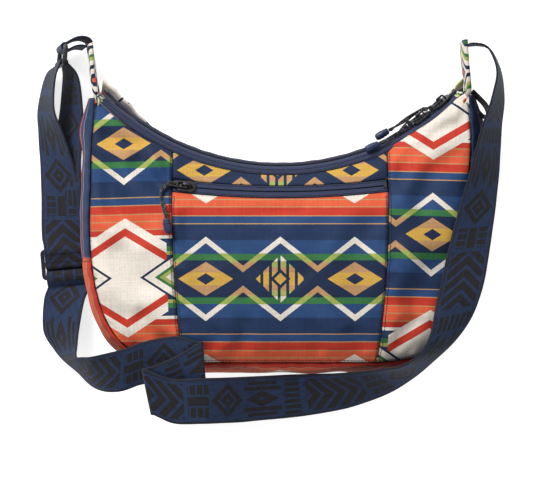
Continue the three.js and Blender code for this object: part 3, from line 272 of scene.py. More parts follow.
def back_height(x, y):
    """The back: flat in the middle, raised a little at the sides and fully at the mouth"""
    side = smooth_step((outward_share(x, y) - 0.62) / 0.38) ** 1.6
    top = np.clip(1 - (mouth_radius(x, y) - MOUTH_BACK_R) / 50, 0, 1) ** 3.2
    return BACK_RIM_Z * (1 - (1 - 0.38 * side) * (1 - top))


def side_seam_x(y):
    """Where the upright seams of the front run, a little nearer the middle at the bottom"""
    down = np.clip((60 - y) / 148.5, 0, 1)
    return PANEL_SEAM_X - 10.5 * down * down


print("the front is", round(float(front_height(0.0, 0.0)), 1), "mm up in its middle")

# %% Edges and patches
def arc_point(x, radius, centre_y):
    x = np.asarray(x, float)
    return np.stack([x, centre_y - np.sqrt(radius * radius - x * x)], -1)


def coons(bottom, top, left, right, columns, rows):
    """A patch between four edges in plan, as rows of points"""
    u = np.linspace(0, 1, columns + 1)
    v = np.linspace(0, 1, rows + 1)
    b, t = bottom(u), top(u)
    l, r = left(v), right(v)
    uu, vv = u[None, :, None], v[:, None, None]
    ruled_v = b[None] * (1 - vv) + t[None] * vv
    ruled_u = l[:, None] * (1 - uu) + r[:, None] * uu
    corners = (b[0] * (1 - uu) * (1 - vv) + b[-1] * uu * (1 - vv)
               + t[0] * (1 - uu) * vv + t[-1] * uu * vv)
    return ruled_v + ruled_u - corners


print("the mouth's front edge is lowest at", arc_point(0.0, MOUTH_FRONT_R, MOUTH_CENTRE_Y), "mm")

# %% [markdown]
# ## Tools for finishes
# Every finish is a small node tree. These helpers write sums of the cloth coordinates in a few
# words, so that a woven stripe or a diamond reads as its own formula.

# %% Node helpers
class Finish:
    """One material with short ways to add maths, colour steps, noise and bump"""

    def __init__(self, name, roughness=0.8, **sockets):
        self.material = bpy.data.materials.new(name)
        self.material.use_nodes = True
        self.nodes = self.material.node_tree.nodes
        self.links = self.material.node_tree.links
        self.shader = self.nodes["Principled BSDF"]
        self.shader.inputs["Roughness"].default_value = roughness
        for socket, value in sockets.items():
            self.shader.inputs[socket.replace("_", " ")].default_value = value

    def put(self, value, socket):
        if isinstance(value, (int, float)):
            socket.default_value = value
        elif isinstance(value, tuple):
            socket.default_value = value if len(value) == 4 else (*value, 1.0)
        else:
            self.links.new(value, socket)

    def maths(self, operation, a, b=0.0):
        node = self.nodes.new("ShaderNodeMath")
        node.operation = operation
        self.put(a, node.inputs[0])
        self.put(b, node.inputs[1])
        return node.outputs[0]

    def add(self, a, b):
        return self.maths("ADD", a, b)

    def sub(self, a, b):
        return self.maths("SUBTRACT", a, b)

    def mul(self, a, b):
        return self.maths("MULTIPLY", a, b)

    def div(self, a, b):
        return self.maths("DIVIDE", a, b)

    def less(self, a, b):
        return self.maths("LESS_THAN", a, b)

    def more(self, a, b):
        return self.maths("GREATER_THAN", a, b)

    def most(self, a, b):
        return self.maths("MAXIMUM", a, b)

    def size(self, a):
        return self.maths("ABSOLUTE", a)

    def fold(self, value, period, start=0.0):
        """Distance from the nearest of a row of centres"""
        return self.maths("PINGPONG", self.sub(value, start), period / 2)

    def uv(self):
        node = self.nodes.new("ShaderNodeUVMap")
        node.uv_map = "cloth"
        split = self.nodes.new("ShaderNodeSeparateXYZ")
        self.links.new(node.outputs[0], split.inputs[0])
        return split.outputs[0], split.outputs[1]

    def uv_vector(self, scale=(1, 1, 1)):
        """The cloth coordinates, stretched so that a noise on them runs along one thread"""
        node = self.nodes.new("ShaderNodeUVMap")
        node.uv_map = "cloth"
        mapping = self.nodes.new("ShaderNodeMapping")
        mapping.inputs["Scale"].default_value = scale
        self.links.new(node.outputs[0], mapping.inputs[0])
        return mapping.outputs[0]

    def object_vector(self):
        return self.nodes.new("ShaderNodeTexCoord").outputs["Object"]

    def noise(self, vector, scale, detail):
        node = self.nodes.new("ShaderNodeTexNoise")
        node.inputs["Scale"].default_value = scale
        node.inputs["Detail"].default_value = detail
        self.links.new(vector, node.inputs["Vector"])
        return node.outputs[0]

    def steps(self, value, stops):
        """Flat colours by value: each stop is (where it starts, colour)"""
        node = self.nodes.new("ShaderNodeValToRGB")
        ramp = node.color_ramp
        ramp.interpolation = "CONSTANT"
        for k, (place, colour) in enumerate(stops):
            if k < 2:
                element = ramp.elements[k]
                element.position = place
            else:
                element = ramp.elements.new(place)
            element.color = (*colour, 1.0)
        self.put(value, node.inputs[0])
        return node.outputs[0]

    def mix(self, share, a, b, mode="MIX"):
        node = self.nodes.new("ShaderNodeMix")
        node.data_type = "RGBA"
        node.blend_type = mode
        self.put(share, node.inputs[0])
        self.put(a, node.inputs[6])
        self.put(b, node.inputs[7])
        return node.outputs[2]

    def lit(self, colour, light):
        """A colour made lighter or darker by a number"""
        grey = self.nodes.new("ShaderNodeCombineColor")
        for k in range(3):
            self.links.new(light, grey.inputs[k])
        return self.mix(1.0, colour, grey.outputs[0], "MULTIPLY")

    def range(self, value, low, high, to_low, to_high):
        node = self.nodes.new("ShaderNodeMapRange")
        for k, number in enumerate((value, low, high, to_low, to_high)):
            self.put(number, node.inputs[k])
        return node.outputs[0]

    def bump(self, height, distance, strength):
        node = self.nodes.new("ShaderNodeBump")
        node.inputs["Strength"].default_value = strength
        node.inputs["Distance"].default_value = distance
        self.links.new(height, node.inputs["Height"])
        self.links.new(node.outputs[0], self.shader.inputs["Normal"])

    def colour(self, value):
        self.put(value, self.shader.inputs["Base Color"])

    def rough(self, value):
        self.put(value, self.shader.inputs["Roughness"])


def shade(hexadecimal):
    """A written colour as the linear numbers that a shader takes"""
    out = []
    for k in (0, 2, 4):
        c = int(hexadecimal[k:k + 2], 16) / 255
        out.append(c / 12.92 if c <= 0.04045 else ((c + 0.055) / 1.055) ** 2.4)
    return tuple(out)


CREAM, NAVY, DEEP, BLUE = shade("E3DACE"), shade("1B3054"), shade("142645"), shade("244472")
RED, ORANGE, TAN = shade("BE3422"), shade("D85A38"), shade("B68B5E")
GOLD, GREEN, OLIVE = shade("CBA046"), shade("33703F"), shade("9FA957")
print("cream in linear numbers:", [round(c, 2) for c in CREAM])

# %% [markdown]
# ## Printed cloth
# The body is a smooth woven cloth with a blanket-like print: wide bands of navy and blue, runs of
# red and orange with thin tan lines, and diamonds and zigzags in cream, green and gold. The print
# here is a plain design of that kind. A row of diamonds repeats every 233 mm, a row of stacked
# rhombs lies halfway between, and red stripes part the two. Where a cream zigzag crosses the
# green band it turns olive, as crossing yarns do. Each function below lays one kind of figure
# over the colour so far. u runs along the cloth, d is the distance from the nearest first row,
# and share is that distance as a share of half a repeat.

# %% Bands and zigzags of the print
ROW = 0.233
HALF_ROW = ROW / 2
FIGURE = 0.128
HALF_FIGURE = FIGURE / 2


def at(mm):
    """Millimetres from a first row, as a share of half a repeat"""
    return mm * MM / HALF_ROW


def bands_and_zigzags(cloth, u, d, share):
    bands = cloth.steps(share, [
        (0, DEEP), (at(15.5), GREEN), (at(21), BLUE), (at(33), NAVY), (at(46.5), TAN), (at(47.5), BLUE),
        (at(53.5), TAN), (at(54.5), RED), (at(61), TAN), (at(62), ORANGE), (at(67.5), TAN),
        (at(68.5), ORANGE), (at(74.5), TAN), (at(75.5), RED), (at(80.5), CREAM), (at(83), NAVY),
        (at(90), GREEN), (at(94), OLIVE), (at(97), NAVY), (at(104), BLUE),
    ])
    slope, foot, half_width = 0.78, 0.0085, 0.0028
    crest = cloth.add(cloth.mul(cloth.fold(u, HALF_FIGURE, HALF_FIGURE / 2), slope), foot)
    along = cloth.size(cloth.sub(d, crest))
    zigzag = cloth.steps(share, [(0, TAN), (at(14), OLIVE), (at(21.5), CREAM)])
    return cloth.mix(cloth.less(along, half_width), bands, zigzag)


print("the print repeats every", round(FIGURE / MM), "by", round(ROW / MM), "mm")

# %% Tents and rhombs of the print
def rhomb(cloth, across, half_wide, up, half_tall):
    """0 in the middle of a rhomb and 1 on its edge"""
    return cloth.add(cloth.div(across, half_wide), cloth.div(up, half_tall))


def cream_tents(cloth, u, d, colour):
    """Cream tents that stand on the red stripes"""
    peak, slope, height, half_width = 0.116, -0.62, 0.051, 0.036
    tent = cloth.fold(u, FIGURE)
    below = cloth.sub(peak, cloth.add(d, cloth.mul(tent, slope)))
    ring = cloth.steps(cloth.div(below, 0.08), [(0.0, CREAM), (0.44, RED), (0.53, CREAM), (0.66, NAVY)])
    inside = cloth.mul(cloth.less(below, height), cloth.more(d, 0.0385))
    return cloth.mix(cloth.mul(inside, cloth.less(tent, half_width)), colour, ring)


def stacked_rhombs(cloth, u, d, colour):
    """The ringed rhombs of the second row"""
    figure = rhomb(cloth, cloth.fold(u, FIGURE, HALF_FIGURE), 0.052, cloth.sub(HALF_ROW, d), 0.034)
    rings = cloth.steps(cloth.mul(figure, 0.99), [
        (0.0, ORANGE), (0.12, DEEP), (0.22, CREAM), (0.34, DEEP), (0.44, CREAM), (0.56, OLIVE),
        (0.66, GREEN), (0.74, CREAM), (0.92, DEEP),
    ])
    return cloth.mix(cloth.less(figure, 1.0), colour, rings)


def first_row(cloth, u, d, share, colour):
    """Gold diamonds, and barred lozenges between them"""
    diamond = rhomb(cloth, cloth.fold(u, FIGURE), 0.0235, d, 0.0145)
    yarn = cloth.steps(share, [(0, GOLD), (at(5.2), TAN)])
    inner = cloth.mix(cloth.less(diamond, 0.34), yarn, DEEP)
    colour = cloth.mix(cloth.less(diamond, 1.0), colour, inner)
    lozenge = rhomb(cloth, cloth.fold(u, FIGURE, HALF_FIGURE), 0.021, d, 0.0205)
    bar_pitch, bar_gap = 0.0074, 0.0013
    bars = cloth.more(cloth.fold(u, bar_pitch, bar_pitch / 2), bar_gap)
    barred = cloth.mul(cloth.mul(cloth.less(lozenge, 1.0), bars), cloth.more(lozenge, 0.42))
    yarns = cloth.steps(share, [(0, GOLD), (at(5.2), TAN), (at(10), OLIVE), (at(15), CREAM)])
    colour = cloth.mix(barred, colour, yarns)
    return cloth.mix(cloth.less(lozenge, 0.25), colour, GOLD)


print("figures of the print ready")

# %% Printed cloth
def crossed(cloth, one_way, other_way, scale, detail):
    """A noise drawn out along one thread and one drawn out along the other, in equal parts"""
    one = cloth.noise(cloth.uv_vector((one_way, other_way, 1)), scale, detail)
    other = cloth.noise(cloth.uv_vector((other_way, one_way, 1)), scale, detail)
    return cloth.mul(cloth.add(one, other), 0.5)


def printed_cloth(name):
    cloth = Finish(name, 0.7, Sheen_Weight=0.05, Sheen_Roughness=0.45, Specular_IOR_Level=0.28)
    u, v = cloth.uv()
    d = cloth.fold(v, ROW)
    share = cloth.div(d, HALF_ROW)
    colour = bands_and_zigzags(cloth, u, d, share)
    colour = cream_tents(cloth, u, d, colour)
    colour = stacked_rhombs(cloth, u, d, colour)
    colour = first_row(cloth, u, d, share, colour)
    # fine threads, painted lighter where they rise and darker where they sink, as light and shade
    # fall on the weave; slow changes of tone; and threads that are thicker here and there
    weave = crossed(cloth, 3.0, 0.35, 900, 1)
    tone = cloth.noise(cloth.uv_vector(), 34, 3)
    slub = crossed(cloth, 0.12, 2.6, 330, 2)
    light = cloth.add(cloth.range(weave, 0.3, 0.7, 0.86, 1.1), cloth.range(tone, 0.3, 0.7, -0.05, 0.05))
    light = cloth.add(light, cloth.range(slub, 0.35, 0.65, -0.10, 0.10))
    cloth.colour(cloth.lit(colour, light))
    cloth.rough(cloth.range(weave, 0.3, 0.7, 0.78, 0.66))
    cloth.bump(weave, 0.00018, 0.6)
    return cloth.material


print_cloth = printed_cloth("printed cloth")
print("printed cloth has", len(print_cloth.node_tree.nodes), "nodes")

# %% [markdown]
# ## Webbing, tape, cord and moulded finishes
# The strap is a two-colour jacquard: a blue face with near-black figures, ribbed along its length.
# The zip tape is a slate navy twill, the side loop a black one, and the pull cords are a tight
# dark braid. The ring, the adjuster and the cord ends are moulded with a soft sheen, and the
# sliders are metal under a black coat.

# %% Webbing finish
def jacquard_figure(web, u, half, along):
    """1 on the dark figures and 0 between them: half is the distance from the middle of the webbing"""
    def between(value, low, high):
        return web.mul(web.more(value, low), web.less(value, high))

    def diamond(centre, half_wide, half_tall):
        return rhomb(web, half, half_wide, web.size(web.sub(along, centre)), half_tall)

    chevron = web.fold(web.add(along, web.mul(half, 0.9)), 0.0112)
    chevrons = web.mul(web.mul(web.less(chevron, 0.0037), between(along, 0.002, 0.052)),
                       web.less(half, 0.0158))
    # a row of small squares on each side of a solid line
    squares = web.mul(web.less(web.fold(along, 0.006), 0.0023), between(half, 0.0058, 0.0142))
    squares = web.mul(squares, between(along, 0.0555, 0.0735))
    line = web.mul(web.less(half, 0.0038), between(along, 0.0555, 0.0735))
    nested = diamond(0.092, 0.0168, 0.0175)
    rings = web.mul(web.less(nested, 1.0), web.more(web.maths("PINGPONG", nested, 0.25), 0.085))
    # long bars beside a spear, and a row of teeth
    bars = web.most(web.mul(between(half, 0.0074, 0.0110), between(along, 0.110, 0.147)),
                    web.mul(between(half, 0.0126, 0.0156), between(along, 0.114, 0.143)))
    spear = diamond(0.129, 0.0070, 0.0170)
    spear = web.mul(web.less(spear, 1.0), web.more(spear, 0.22))
    teeth = web.mul(web.less(web.fold(u, 0.0053), 0.0017), between(along, 0.150, 0.164))
    figure = chevrons
    for part in (squares, line, rings, bars, spear, teeth):
        figure = web.most(figure, part)
    return figure


def jacquard(name, width=0.04, repeat_length=0.168):
    web = Finish(name, 0.78, Sheen_Weight=0.08, Sheen_Roughness=0.4, Specular_IOR_Level=0.3)
    u, v = web.uv()
    half = web.size(web.sub(u, width / 2))
    figure = jacquard_figure(web, u, half, web.maths("FLOORED_MODULO", v, repeat_length))
    # a plain margin, and a darker selvedge
    figure = web.mul(figure, web.less(half, 0.0166))
    figure = web.most(figure, web.mul(web.more(half, 0.0176), 0.75))
    rib_pitch, cord_pitch = 0.0009, 0.0014
    ribs = web.fold(v, rib_pitch)
    height = web.add(web.mul(ribs, 900), web.mul(web.fold(u, cord_pitch), 500))
    height = web.add(height, web.mul(figure, 0.25))
    grain = web.noise(web.uv_vector((1, 0.3, 1)), 700, 2)
    tone = web.noise(web.uv_vector((1, 0.4, 1)), 260, 3)
    # the ribs are painted darker in their grooves and lighter on their crests, as shade and light fall on
    # them; grain and tone vary at random
    light = web.add(web.range(grain, 0.3, 0.7, 0.78, 1.12), web.range(ribs, 0, rib_pitch / 2, -0.10, 0.08))
    light = web.add(light, web.range(tone, 0.3, 0.7, -0.14, 0.14))
    web.colour(web.lit(web.mix(figure, shade("243353"), shade("222124")), light))
    web.bump(height, 0.00032, 0.8)
    return web.material


webbing = jacquard("jacquard webbing")
print("webbing has", len(webbing.node_tree.nodes), "nodes")

# %% Tape, cord, thread and moulded finishes
def paler(colour, times, more=0.0):
    """A paler colour, for the worn places of a finish and for painted highlight on its raised places"""
    return tuple(c * times + more for c in colour)


def plain_woven(name, colour, twill=0.0011, rough=0.8, sheen=0.15):
    tape = Finish(name, rough, Sheen_Weight=sheen, Specular_IOR_Level=0.3)
    u, v = tape.uv()
    slant = tape.fold(tape.add(u, tape.mul(v, 0.8)), twill)
    grain = tape.noise(tape.uv_vector(), 900, 2)
    # the twill lines are painted darker in their grooves and lighter between them, as shade and light fall
    # on them; the grain varies at random
    light = tape.add(tape.range(slant, 0, twill / 2, 0.80, 1.08), tape.range(grain, 0.3, 0.7, -0.12, 0.12))
    tape.colour(tape.lit(colour, light))
    tape.bump(tape.mul(slant, 600), 0.0002, 0.7)
    return tape.material


def plain_cloth(name, colour):
    """A matt weave for the plain cloth inside, which has no cloth coordinates of its own"""
    cloth = Finish(name, 0.85, Sheen_Weight=0.15, Specular_IOR_Level=0.3)
    fleck = cloth.noise(cloth.object_vector(), 1400, 2)
    # the flecks are paler where the bump raises them: partly a fleck in the yarn and partly painted
    # highlight on the raised threads
    cloth.colour(cloth.mix(cloth.range(fleck, 0.3, 0.7, 0.0, 0.6), colour, paler(colour, 1.5)))
    cloth.bump(fleck, 0.0001, 0.5)
    return cloth.material


def moulded(name, colour, rough, grain=380):
    part = Finish(name, rough, Specular_IOR_Level=0.45)
    place = part.object_vector()
    speck = part.noise(place, grain, 2)
    wear = part.noise(place, 60, 3)
    part.colour(part.mix(part.range(wear, 0.35, 0.75, 0.0, 0.35), colour, paler(colour, 1.9, 0.004)))
    part.rough(part.range(wear, 0.3, 0.7, rough - 0.06, rough + 0.12))
    part.bump(speck, 0.00006, 0.5)
    return part.material


def braid(name, colour, fleck_colour):
    cord = Finish(name, 0.7, Sheen_Weight=0.2, Specular_IOR_Level=0.35)
    u, v = cord.uv()
    strand, fleck_pitch = 0.0016, 0.0058
    one = cord.fold(cord.add(v, cord.mul(u, 0.5)), strand)
    two = cord.fold(cord.sub(v, cord.mul(u, 0.5)), strand)
    fleck = cord.less(cord.fold(cord.add(v, cord.mul(u, 1.3)), fleck_pitch), 0.0004)
    grain = cord.noise(cord.uv_vector(), 1400, 1)
    flecked = cord.mix(cord.mul(fleck, 0.55), colour, fleck_colour)
    cord.colour(cord.mix(cord.range(grain, 0.3, 0.7, 0.0, 0.35), flecked, paler(colour, 2.2, 0.003)))
    cord.bump(cord.mul(cord.most(one, two), 1200), 0.0003, 0.9)
    return cord.material


zip_tape = plain_woven("zip tape", shade("303854"), sheen=0.06)
black_tape = plain_woven("black ribbed tape", shade("1A1B20"), 0.0014)
lining_cloth = plain_cloth("lining cloth", shade("363B47"))
thread_dark = plain_woven("dark thread", shade("15171F"), 0.0004, 0.6)
coil_finish = moulded("zip coil", shade("2A2E44"), 0.42)
dark_plastic = moulded("dark moulded plastic", shade("1B1D24"), 0.4)
navy_plastic = moulded("navy moulded plastic", shade("1E2A4C"), 0.46)
slider_metal = moulded("black coated metal", shade("121317"), 0.44, 500)
pull_cord_braid = braid("braided cord", shade("17181E"), shade("8E8C86"))
print("finishes:", len(bpy.data.materials))

# %% [markdown]
# ## Zips, cords and pulls
# Each zip follows an arc. A place beside it is given by degrees along the arc, then millimetres
# across the chain and out of it. Each pull ends in a doubled cord with two knots and a moulded
# end, and the cord's route is worked out before the cord is made.

# %% Places along a zip
MAIN = {"centre": MOUTH_CENTRE_Y, "radius": MAIN_R, "z": MAIN_Z, "tilt": MAIN_TILT, "end": 45.4}
POCKET = {"centre": POCKET_CENTRE_Y, "radius": POCKET_R, "z": POCKET_Z, "tilt": POCKET_TILT, "end": 6.8}


def zip_frame(chain, angle):
    """A place on the chain, and the directions along it, across it to the front and out of it"""
    turn = np.radians(np.asarray(angle, float))[..., None]
    tilt = math.radians(chain["tilt"])
    radial = np.concatenate([np.sin(turn), -np.cos(turn), 0 * turn], -1)
    up = np.array([0, 0, 1.0])
    along = np.concatenate([np.cos(turn), np.sin(turn), 0 * turn], -1)
    across = radial * math.cos(tilt) + up * math.sin(tilt)
    out = up * math.cos(tilt) - radial * math.sin(tilt)
    return radial * chain["radius"] + (0, chain["centre"], chain["z"]), along, across, out


def zip_point(chain, angle, across, out):
    """A place on the chain, moved millimetres across it and out of it"""
    place, _, side, away = zip_frame(chain, angle)
    return place + side * np.asarray(across, float)[..., None] + away * np.asarray(out, float)[..., None]


def unit(vector):
    return np.asarray(vector, float) / max(np.linalg.norm(vector), TINY)


print("the main zip's middle:", zip_point(MAIN, 0.0, 0, 0), "mm")

# %% Tubes and turned shapes
def tube_faces(rings, sides):
    """Faces of a closed tube: quads between its rings of points, and a cap at each end"""
    faces = []
    for k in range(rings - 1):
        for j in range(sides):
            a, b = k * sides + j, k * sides + (j + 1) % sides
            faces.append((a, b, b + sides, a + sides))
    last = (rings - 1) * sides
    return [*faces, tuple(range(sides - 1, -1, -1)), tuple(range(last, last + sides))]


def round_points(centre, first, second, radius, sides):
    """Points on a circle, from the first direction towards the second"""
    turns = [2 * math.pi * j / sides for j in range(sides)]
    return [centre + radius * (first * math.cos(t) + second * math.sin(t)) for t in turns]


def carried(line, hint):
    """At each point of a line, two directions across it, which follow its bends and don't twist"""
    way = np.gradient(line, axis=0)
    way /= np.linalg.norm(way, axis=1, keepdims=True)
    first = unit(np.cross(way[0], hint))
    pairs = []
    for ahead in way:
        first = unit(first - ahead * np.dot(first, ahead))
        pairs.append((first, np.cross(ahead, first)))
    return pairs


def tube(line, radius, sides):
    """Points and faces of a closed round tube along a line"""
    line = np.asarray(line, float)
    points = []
    for centre, (first, second) in zip(line, carried(line, (0.3, 0.2, 1.0))):
        points += round_points(centre, first, second, radius, sides)
    return points, tube_faces(len(line), sides)


def tube_uv(line, radius, sides):
    """u round the tube and v along it, in metres"""
    return [(2 * math.pi * radius * j / sides * MM, d * MM) for d in run_of(line) for j in range(sides)]


def turned(profile, start, direction, sides=28):
    """A shape turned about a line: the profile is (distance along, radius) in millimetres"""
    ahead = unit(direction)
    first = unit(np.cross(ahead, (0.2, 0.1, 1.0)))
    second = np.cross(ahead, first)
    points = []
    for far, radius in profile:
        points += round_points(np.asarray(start) + ahead * far, first, second, radius, sides)
    return points, tube_faces(len(profile), sides)


print("a tube of 3 rings of 8 points has", len(tube_faces(3, 8)), "faces")

# %% Cut plates
def evaluated_mesh(holder):
    """A plain mesh of what an object's curve or modifiers make"""
    return bpy.data.meshes.new_from_object(holder.evaluated_get(bpy.context.evaluated_depsgraph_get()))


def cut_plate(outline, holes, low, high, bevel, rounds=2):
    """A flat plate with round edges and clean holes: points and faces, in millimetres"""
    curve = bpy.data.curves.new("plate", "CURVE")
    curve.dimensions, curve.fill_mode = "2D", "BOTH"
    curve.extrude = (high - low) / 2 - bevel
    curve.bevel_depth, curve.bevel_resolution, curve.offset = bevel, rounds, -bevel
    for line in (outline, *holes):
        spline = curve.splines.new("POLY")
        spline.points.add(len(line) - 1)
        for point, (x, y) in zip(spline.points, line):
            point.co = (x, y, 0, 1)
        spline.use_cyclic_u = True
    holder = linked("plate", curve)
    mesh = evaluated_mesh(holder)
    loose = bmesh.new()
    loose.from_mesh(mesh)
    bmesh.ops.remove_doubles(loose, verts=loose.verts, dist=0.002)
    bmesh.ops.recalc_face_normals(loose, faces=loose.faces)
    loose.to_mesh(mesh)
    loose.free()
    points = [np.array(v.co) + (0, 0, (low + high) / 2) for v in mesh.vertices]
    faces = [tuple(p.vertices) for p in mesh.polygons]
    bpy.data.objects.remove(holder)
    bpy.data.curves.remove(curve)
    bpy.data.meshes.remove(mesh)
    return points, faces


print("plate tool ready")

# %% Pieces from parts
def placed(part, matrix, origin):
    """Turns and moves a part: the matrix rows are its own x, y and z directions"""
    return [np.asarray(origin) + np.asarray(p) @ np.asarray(matrix) for p in part[0]], part[1]


def merged(parts):
    """Several parts as one, which a single piece can hold"""
    points, faces = [], []
    for some, corners in parts:
        faces += [tuple(i + len(points) for i in face) for face in corners]
        points += list(some)
    return points, faces


def solid_piece(name, part, material, body, node=None, uvs=None, sharp=38):
    """A piece from points and faces, with an edge wherever two faces meet at more than sharp degrees"""
    piece = new_mesh(name, part[0], part[1], uvs)
    piece.data.set_sharp_from_angle(angle=math.radians(sharp))
    return dress(piece, material, body, node)


def arc_points(centre, radius, start, end, steps):
    turns = np.radians(np.linspace(start, end, steps + 1))
    return [(centre[0] + radius * math.cos(t), centre[1] + radius * math.sin(t)) for t in turns]


print("piece tools ready")

# %% Routes of the pull cords
TAB_LENGTH, TAB_HALF, TAB, CORD_GAP, CORD_RADIUS = 13.8, 3.3, 1.5, 1.1, 0.95
CORD_END_RADIUS, END_GAP = 3.5, 0.35
MAIN_HINGE, POCKET_HINGE = 5.15, 3.65
PULLS = {
    "main_left": {"chain": MAIN, "angle": 35.25, "hinge": MAIN_HINGE},
    "main_right": {"chain": MAIN, "angle": 41.4, "hinge": MAIN_HINGE},
    "pocket": {"chain": POCKET, "angle": -5.95, "hinge": POCKET_HINGE},
}
# beside the main zip: degrees along, millimetres across to the front, millimetres out
LEFT_ROUTE = [(31.3, 0, 5.15), (29.6, 2, 4.3), (27.4, 5, 3.9), (25.3, 7, 3.9), (23.5, 7.6, 4.1)]
RIGHT_ROUTE = [
    (37.4, -0.9, 6.2), (37, -3.6, 6.7), (36.2, -6.6, 7), (34.6, -8.6, 6.4), (31.8, -9.2, 5.8),
    (29.4, -9.6, 5.2), (27.2, -9.8, 4.8),
]
POCKET_ROUTE = [(-102.4, 63), (-103, 57), (-101, 50), (-99, 43.5), (-98, 38)]


def clear_of_front(x, y):
    """The height of the highest cloth on a place's way along the pocket zip"""
    radius, start = math.hypot(x, POCKET_CENTRE_Y - y), math.atan2(x, POCKET_CENTRE_Y - y)
    turns = start + np.radians(np.arange(0, 2 * 5.95, 0.5))
    heights = front_height(radius * np.sin(turns), POCKET_CENTRE_Y - radius * np.cos(turns))
    return float(np.max(heights)) + CORD_RADIUS + 0.8


def pocket_route():
    place, along, _, out = zip_frame(POCKET, PULLS["pocket"]["angle"])
    start = place - along * (TAB_LENGTH + CORD_GAP) + out * POCKET_HINGE
    last = len(POCKET_ROUTE) - 1
    end_lift = CORD_END_RADIUS - CORD_RADIUS + 0.4
    rest = [(x, y, clear_of_front(x, y) + end_lift * float(np.clip((k - last + 3) / 2, 0, 1)))
            for k, (x, y) in enumerate(POCKET_ROUTE)]
    return np.array([start, *rest])


print("the pocket's cord starts at", pocket_route()[0].round(1), "mm")

# %% Pull cords
def twisted_strands(line, turns):
    """Two strands that lie side by side along a line and wind a little about each other"""
    lines = ([], [])
    for k, (centre, (first, second)) in enumerate(zip(line, carried(line, (0, 0, 1.0)))):
        turn = 2 * math.pi * turns * k / (len(line) - 1)
        side = first * math.cos(turn) + second * math.sin(turn)
        lines[0].append(centre + side * CORD_RADIUS)
        lines[1].append(centre - side * CORD_RADIUS)
    return np.array(lines[0]), np.array(lines[1])


def knot_line(centre, ahead, size):
    """An overhand knot, pulled tight: a trefoil about the cord's own line"""
    first = unit(np.cross(ahead, (0.1, 0.3, 1.0)))
    second = np.cross(ahead, first)
    turns = np.linspace(0.35, 2 * math.pi - 0.35, 40)
    reach = size * (0.58 + 0.34 * np.cos(3 * turns))
    return (np.asarray(centre) + np.outer(reach * np.cos(2 * turns), first)
            + np.outer(reach * np.sin(2 * turns), second)
            + np.outer(size * 0.55 * np.sin(3 * turns), ahead))


END_PROFILE = [
    (0, 1.9), (0.25, 2.5), (1.2, 3.0), (2.2, 3.2), (2.5, 2.85), (3.0, 2.85), (3.3, 3.35), (4.6, 3.45),
    (4.9, 3.1), (5.4, 3.1), (5.7, 3.5), (8.6, 3.45), (10.8, 3.2), (12.0, 2.85), (12.7, 2.3), (13.0, 1.6),
]

for pull in PULLS:
    if pull == "pocket":
        route = pocket_route()
    else:
        rows = LEFT_ROUTE if pull == "main_left" else RIGHT_ROUTE
        route = zip_point(MAIN, *np.array(rows).T)
    line = resampled(catmull(route, 10), 46)
    length = float(np.linalg.norm(np.diff(line, axis=0), axis=1).sum())
    strands = twisted_strands(line, 0.8)
    cord = merged([tube(s, CORD_RADIUS, 12) for s in strands])
    uvs = tube_uv(strands[0], CORD_RADIUS, 12) + tube_uv(strands[1], CORD_RADIUS, 12)
    body = pull + "_zip_pull"
    cord_piece = solid_piece(pull + "_doubled_cord", cord, pull_cord_braid, body, pull + "_pull_cord",
                             uvs, 60)
    ahead = unit(line[-1] - line[-2])
    end = solid_piece(pull + "_moulded_end", turned(END_PROFILE, line[-1] + ahead * END_GAP, ahead),
                      navy_plastic, body, pull + "_cord_end", sharp=50)
    near = unit(line[1] - line[0])
    for k, (place, way, size) in enumerate(((line[3], near, 1.75), (line[-4], ahead, 1.5))):
        knot = knot_line(place, way, size)
        tight = tube(knot, CORD_RADIUS * 0.92, 10)
        solid_piece(f"{pull}_knot_{k + 1}", tight, pull_cord_braid, body, None,
                                 tube_uv(knot, CORD_RADIUS, 10), 60)
    print(pull, "cord", round(length, 1), "mm")

# %% [markdown]
# ## Sliders and tabs
# A slider is two plates joined by a divider, with flanges that hold the tapes and a bridge that
# carries the tab. Every plate has fine round edges, which catch the light as pressed metal does.

# %% Sliders and tabs
SLIDER_HALF, SLIDER_WIDE, PLATE = 8.0, 5.4, 1.4


def slider_plates(low, high, flange_low):
    """Both plates, with the chain between low and high, then flanges, divider and bridge"""
    wide, half = SLIDER_WIDE, SLIDER_HALF
    edge = [
        (-half, -wide + 1.6), (-half + 0.35, -wide + 0.8), (-half + 1.2, -wide + 0.5), (half - 5, -wide),
        (half - 3, -wide + 0.2), (half - 1.3, -wide + 1.4), (half - 0.3, -2.6), (half, -1.2),
    ]
    outline = edge + [(x, -y) for x, y in edge[::-1]]
    parts = [cut_plate(outline, (), low - PLATE, low, 0.3),
             cut_plate(outline, (), high, high + PLATE, 0.35, 3)]
    for side in (-1, 1):
        a, b = sorted((side * (wide - 0.45), side * (wide - 1.45)))
        flange = [(-half + 1.6, a), (half - 5.2, a), (half - 5.2, b), (-half + 1.6, b)]
        parts.append(cut_plate(flange, (), flange_low, high + 0.3, 0.12, 1))
    divider = [(2.2, -0.25), (half - 1.4, -0.25), (half - 1.4, 0.25), (2.2, 0.25)]
    parts.append(cut_plate(divider, (), low - 0.2, high + 0.2, 0.05, 1))
    top, foot, rise, bar = high + PLATE, high + PLATE - 0.3, 4.6, 1.5
    outer = [(-4.6, foot), (-4.1, top + rise - 1.2), (-3.6, top + rise - 0.5), (-2.8, top + rise),
             (2.8, top + rise), (3.6, top + rise - 0.5), (4.1, top + rise - 1.2), (4.6, foot)]
    inner = [(3.1, foot), (2.8, top + rise - bar), (-2.8, top + rise - bar), (-3.1, foot)]
    bridge = cut_plate(outer + inner, (), -1.2, 1.2, 0.35, 3)
    upright = [(1, 0, 0), (0, 0, 1), (0, -1, 0)]
    parts.append(placed(bridge, upright, (0, 0, 0)))
    return merged(parts)


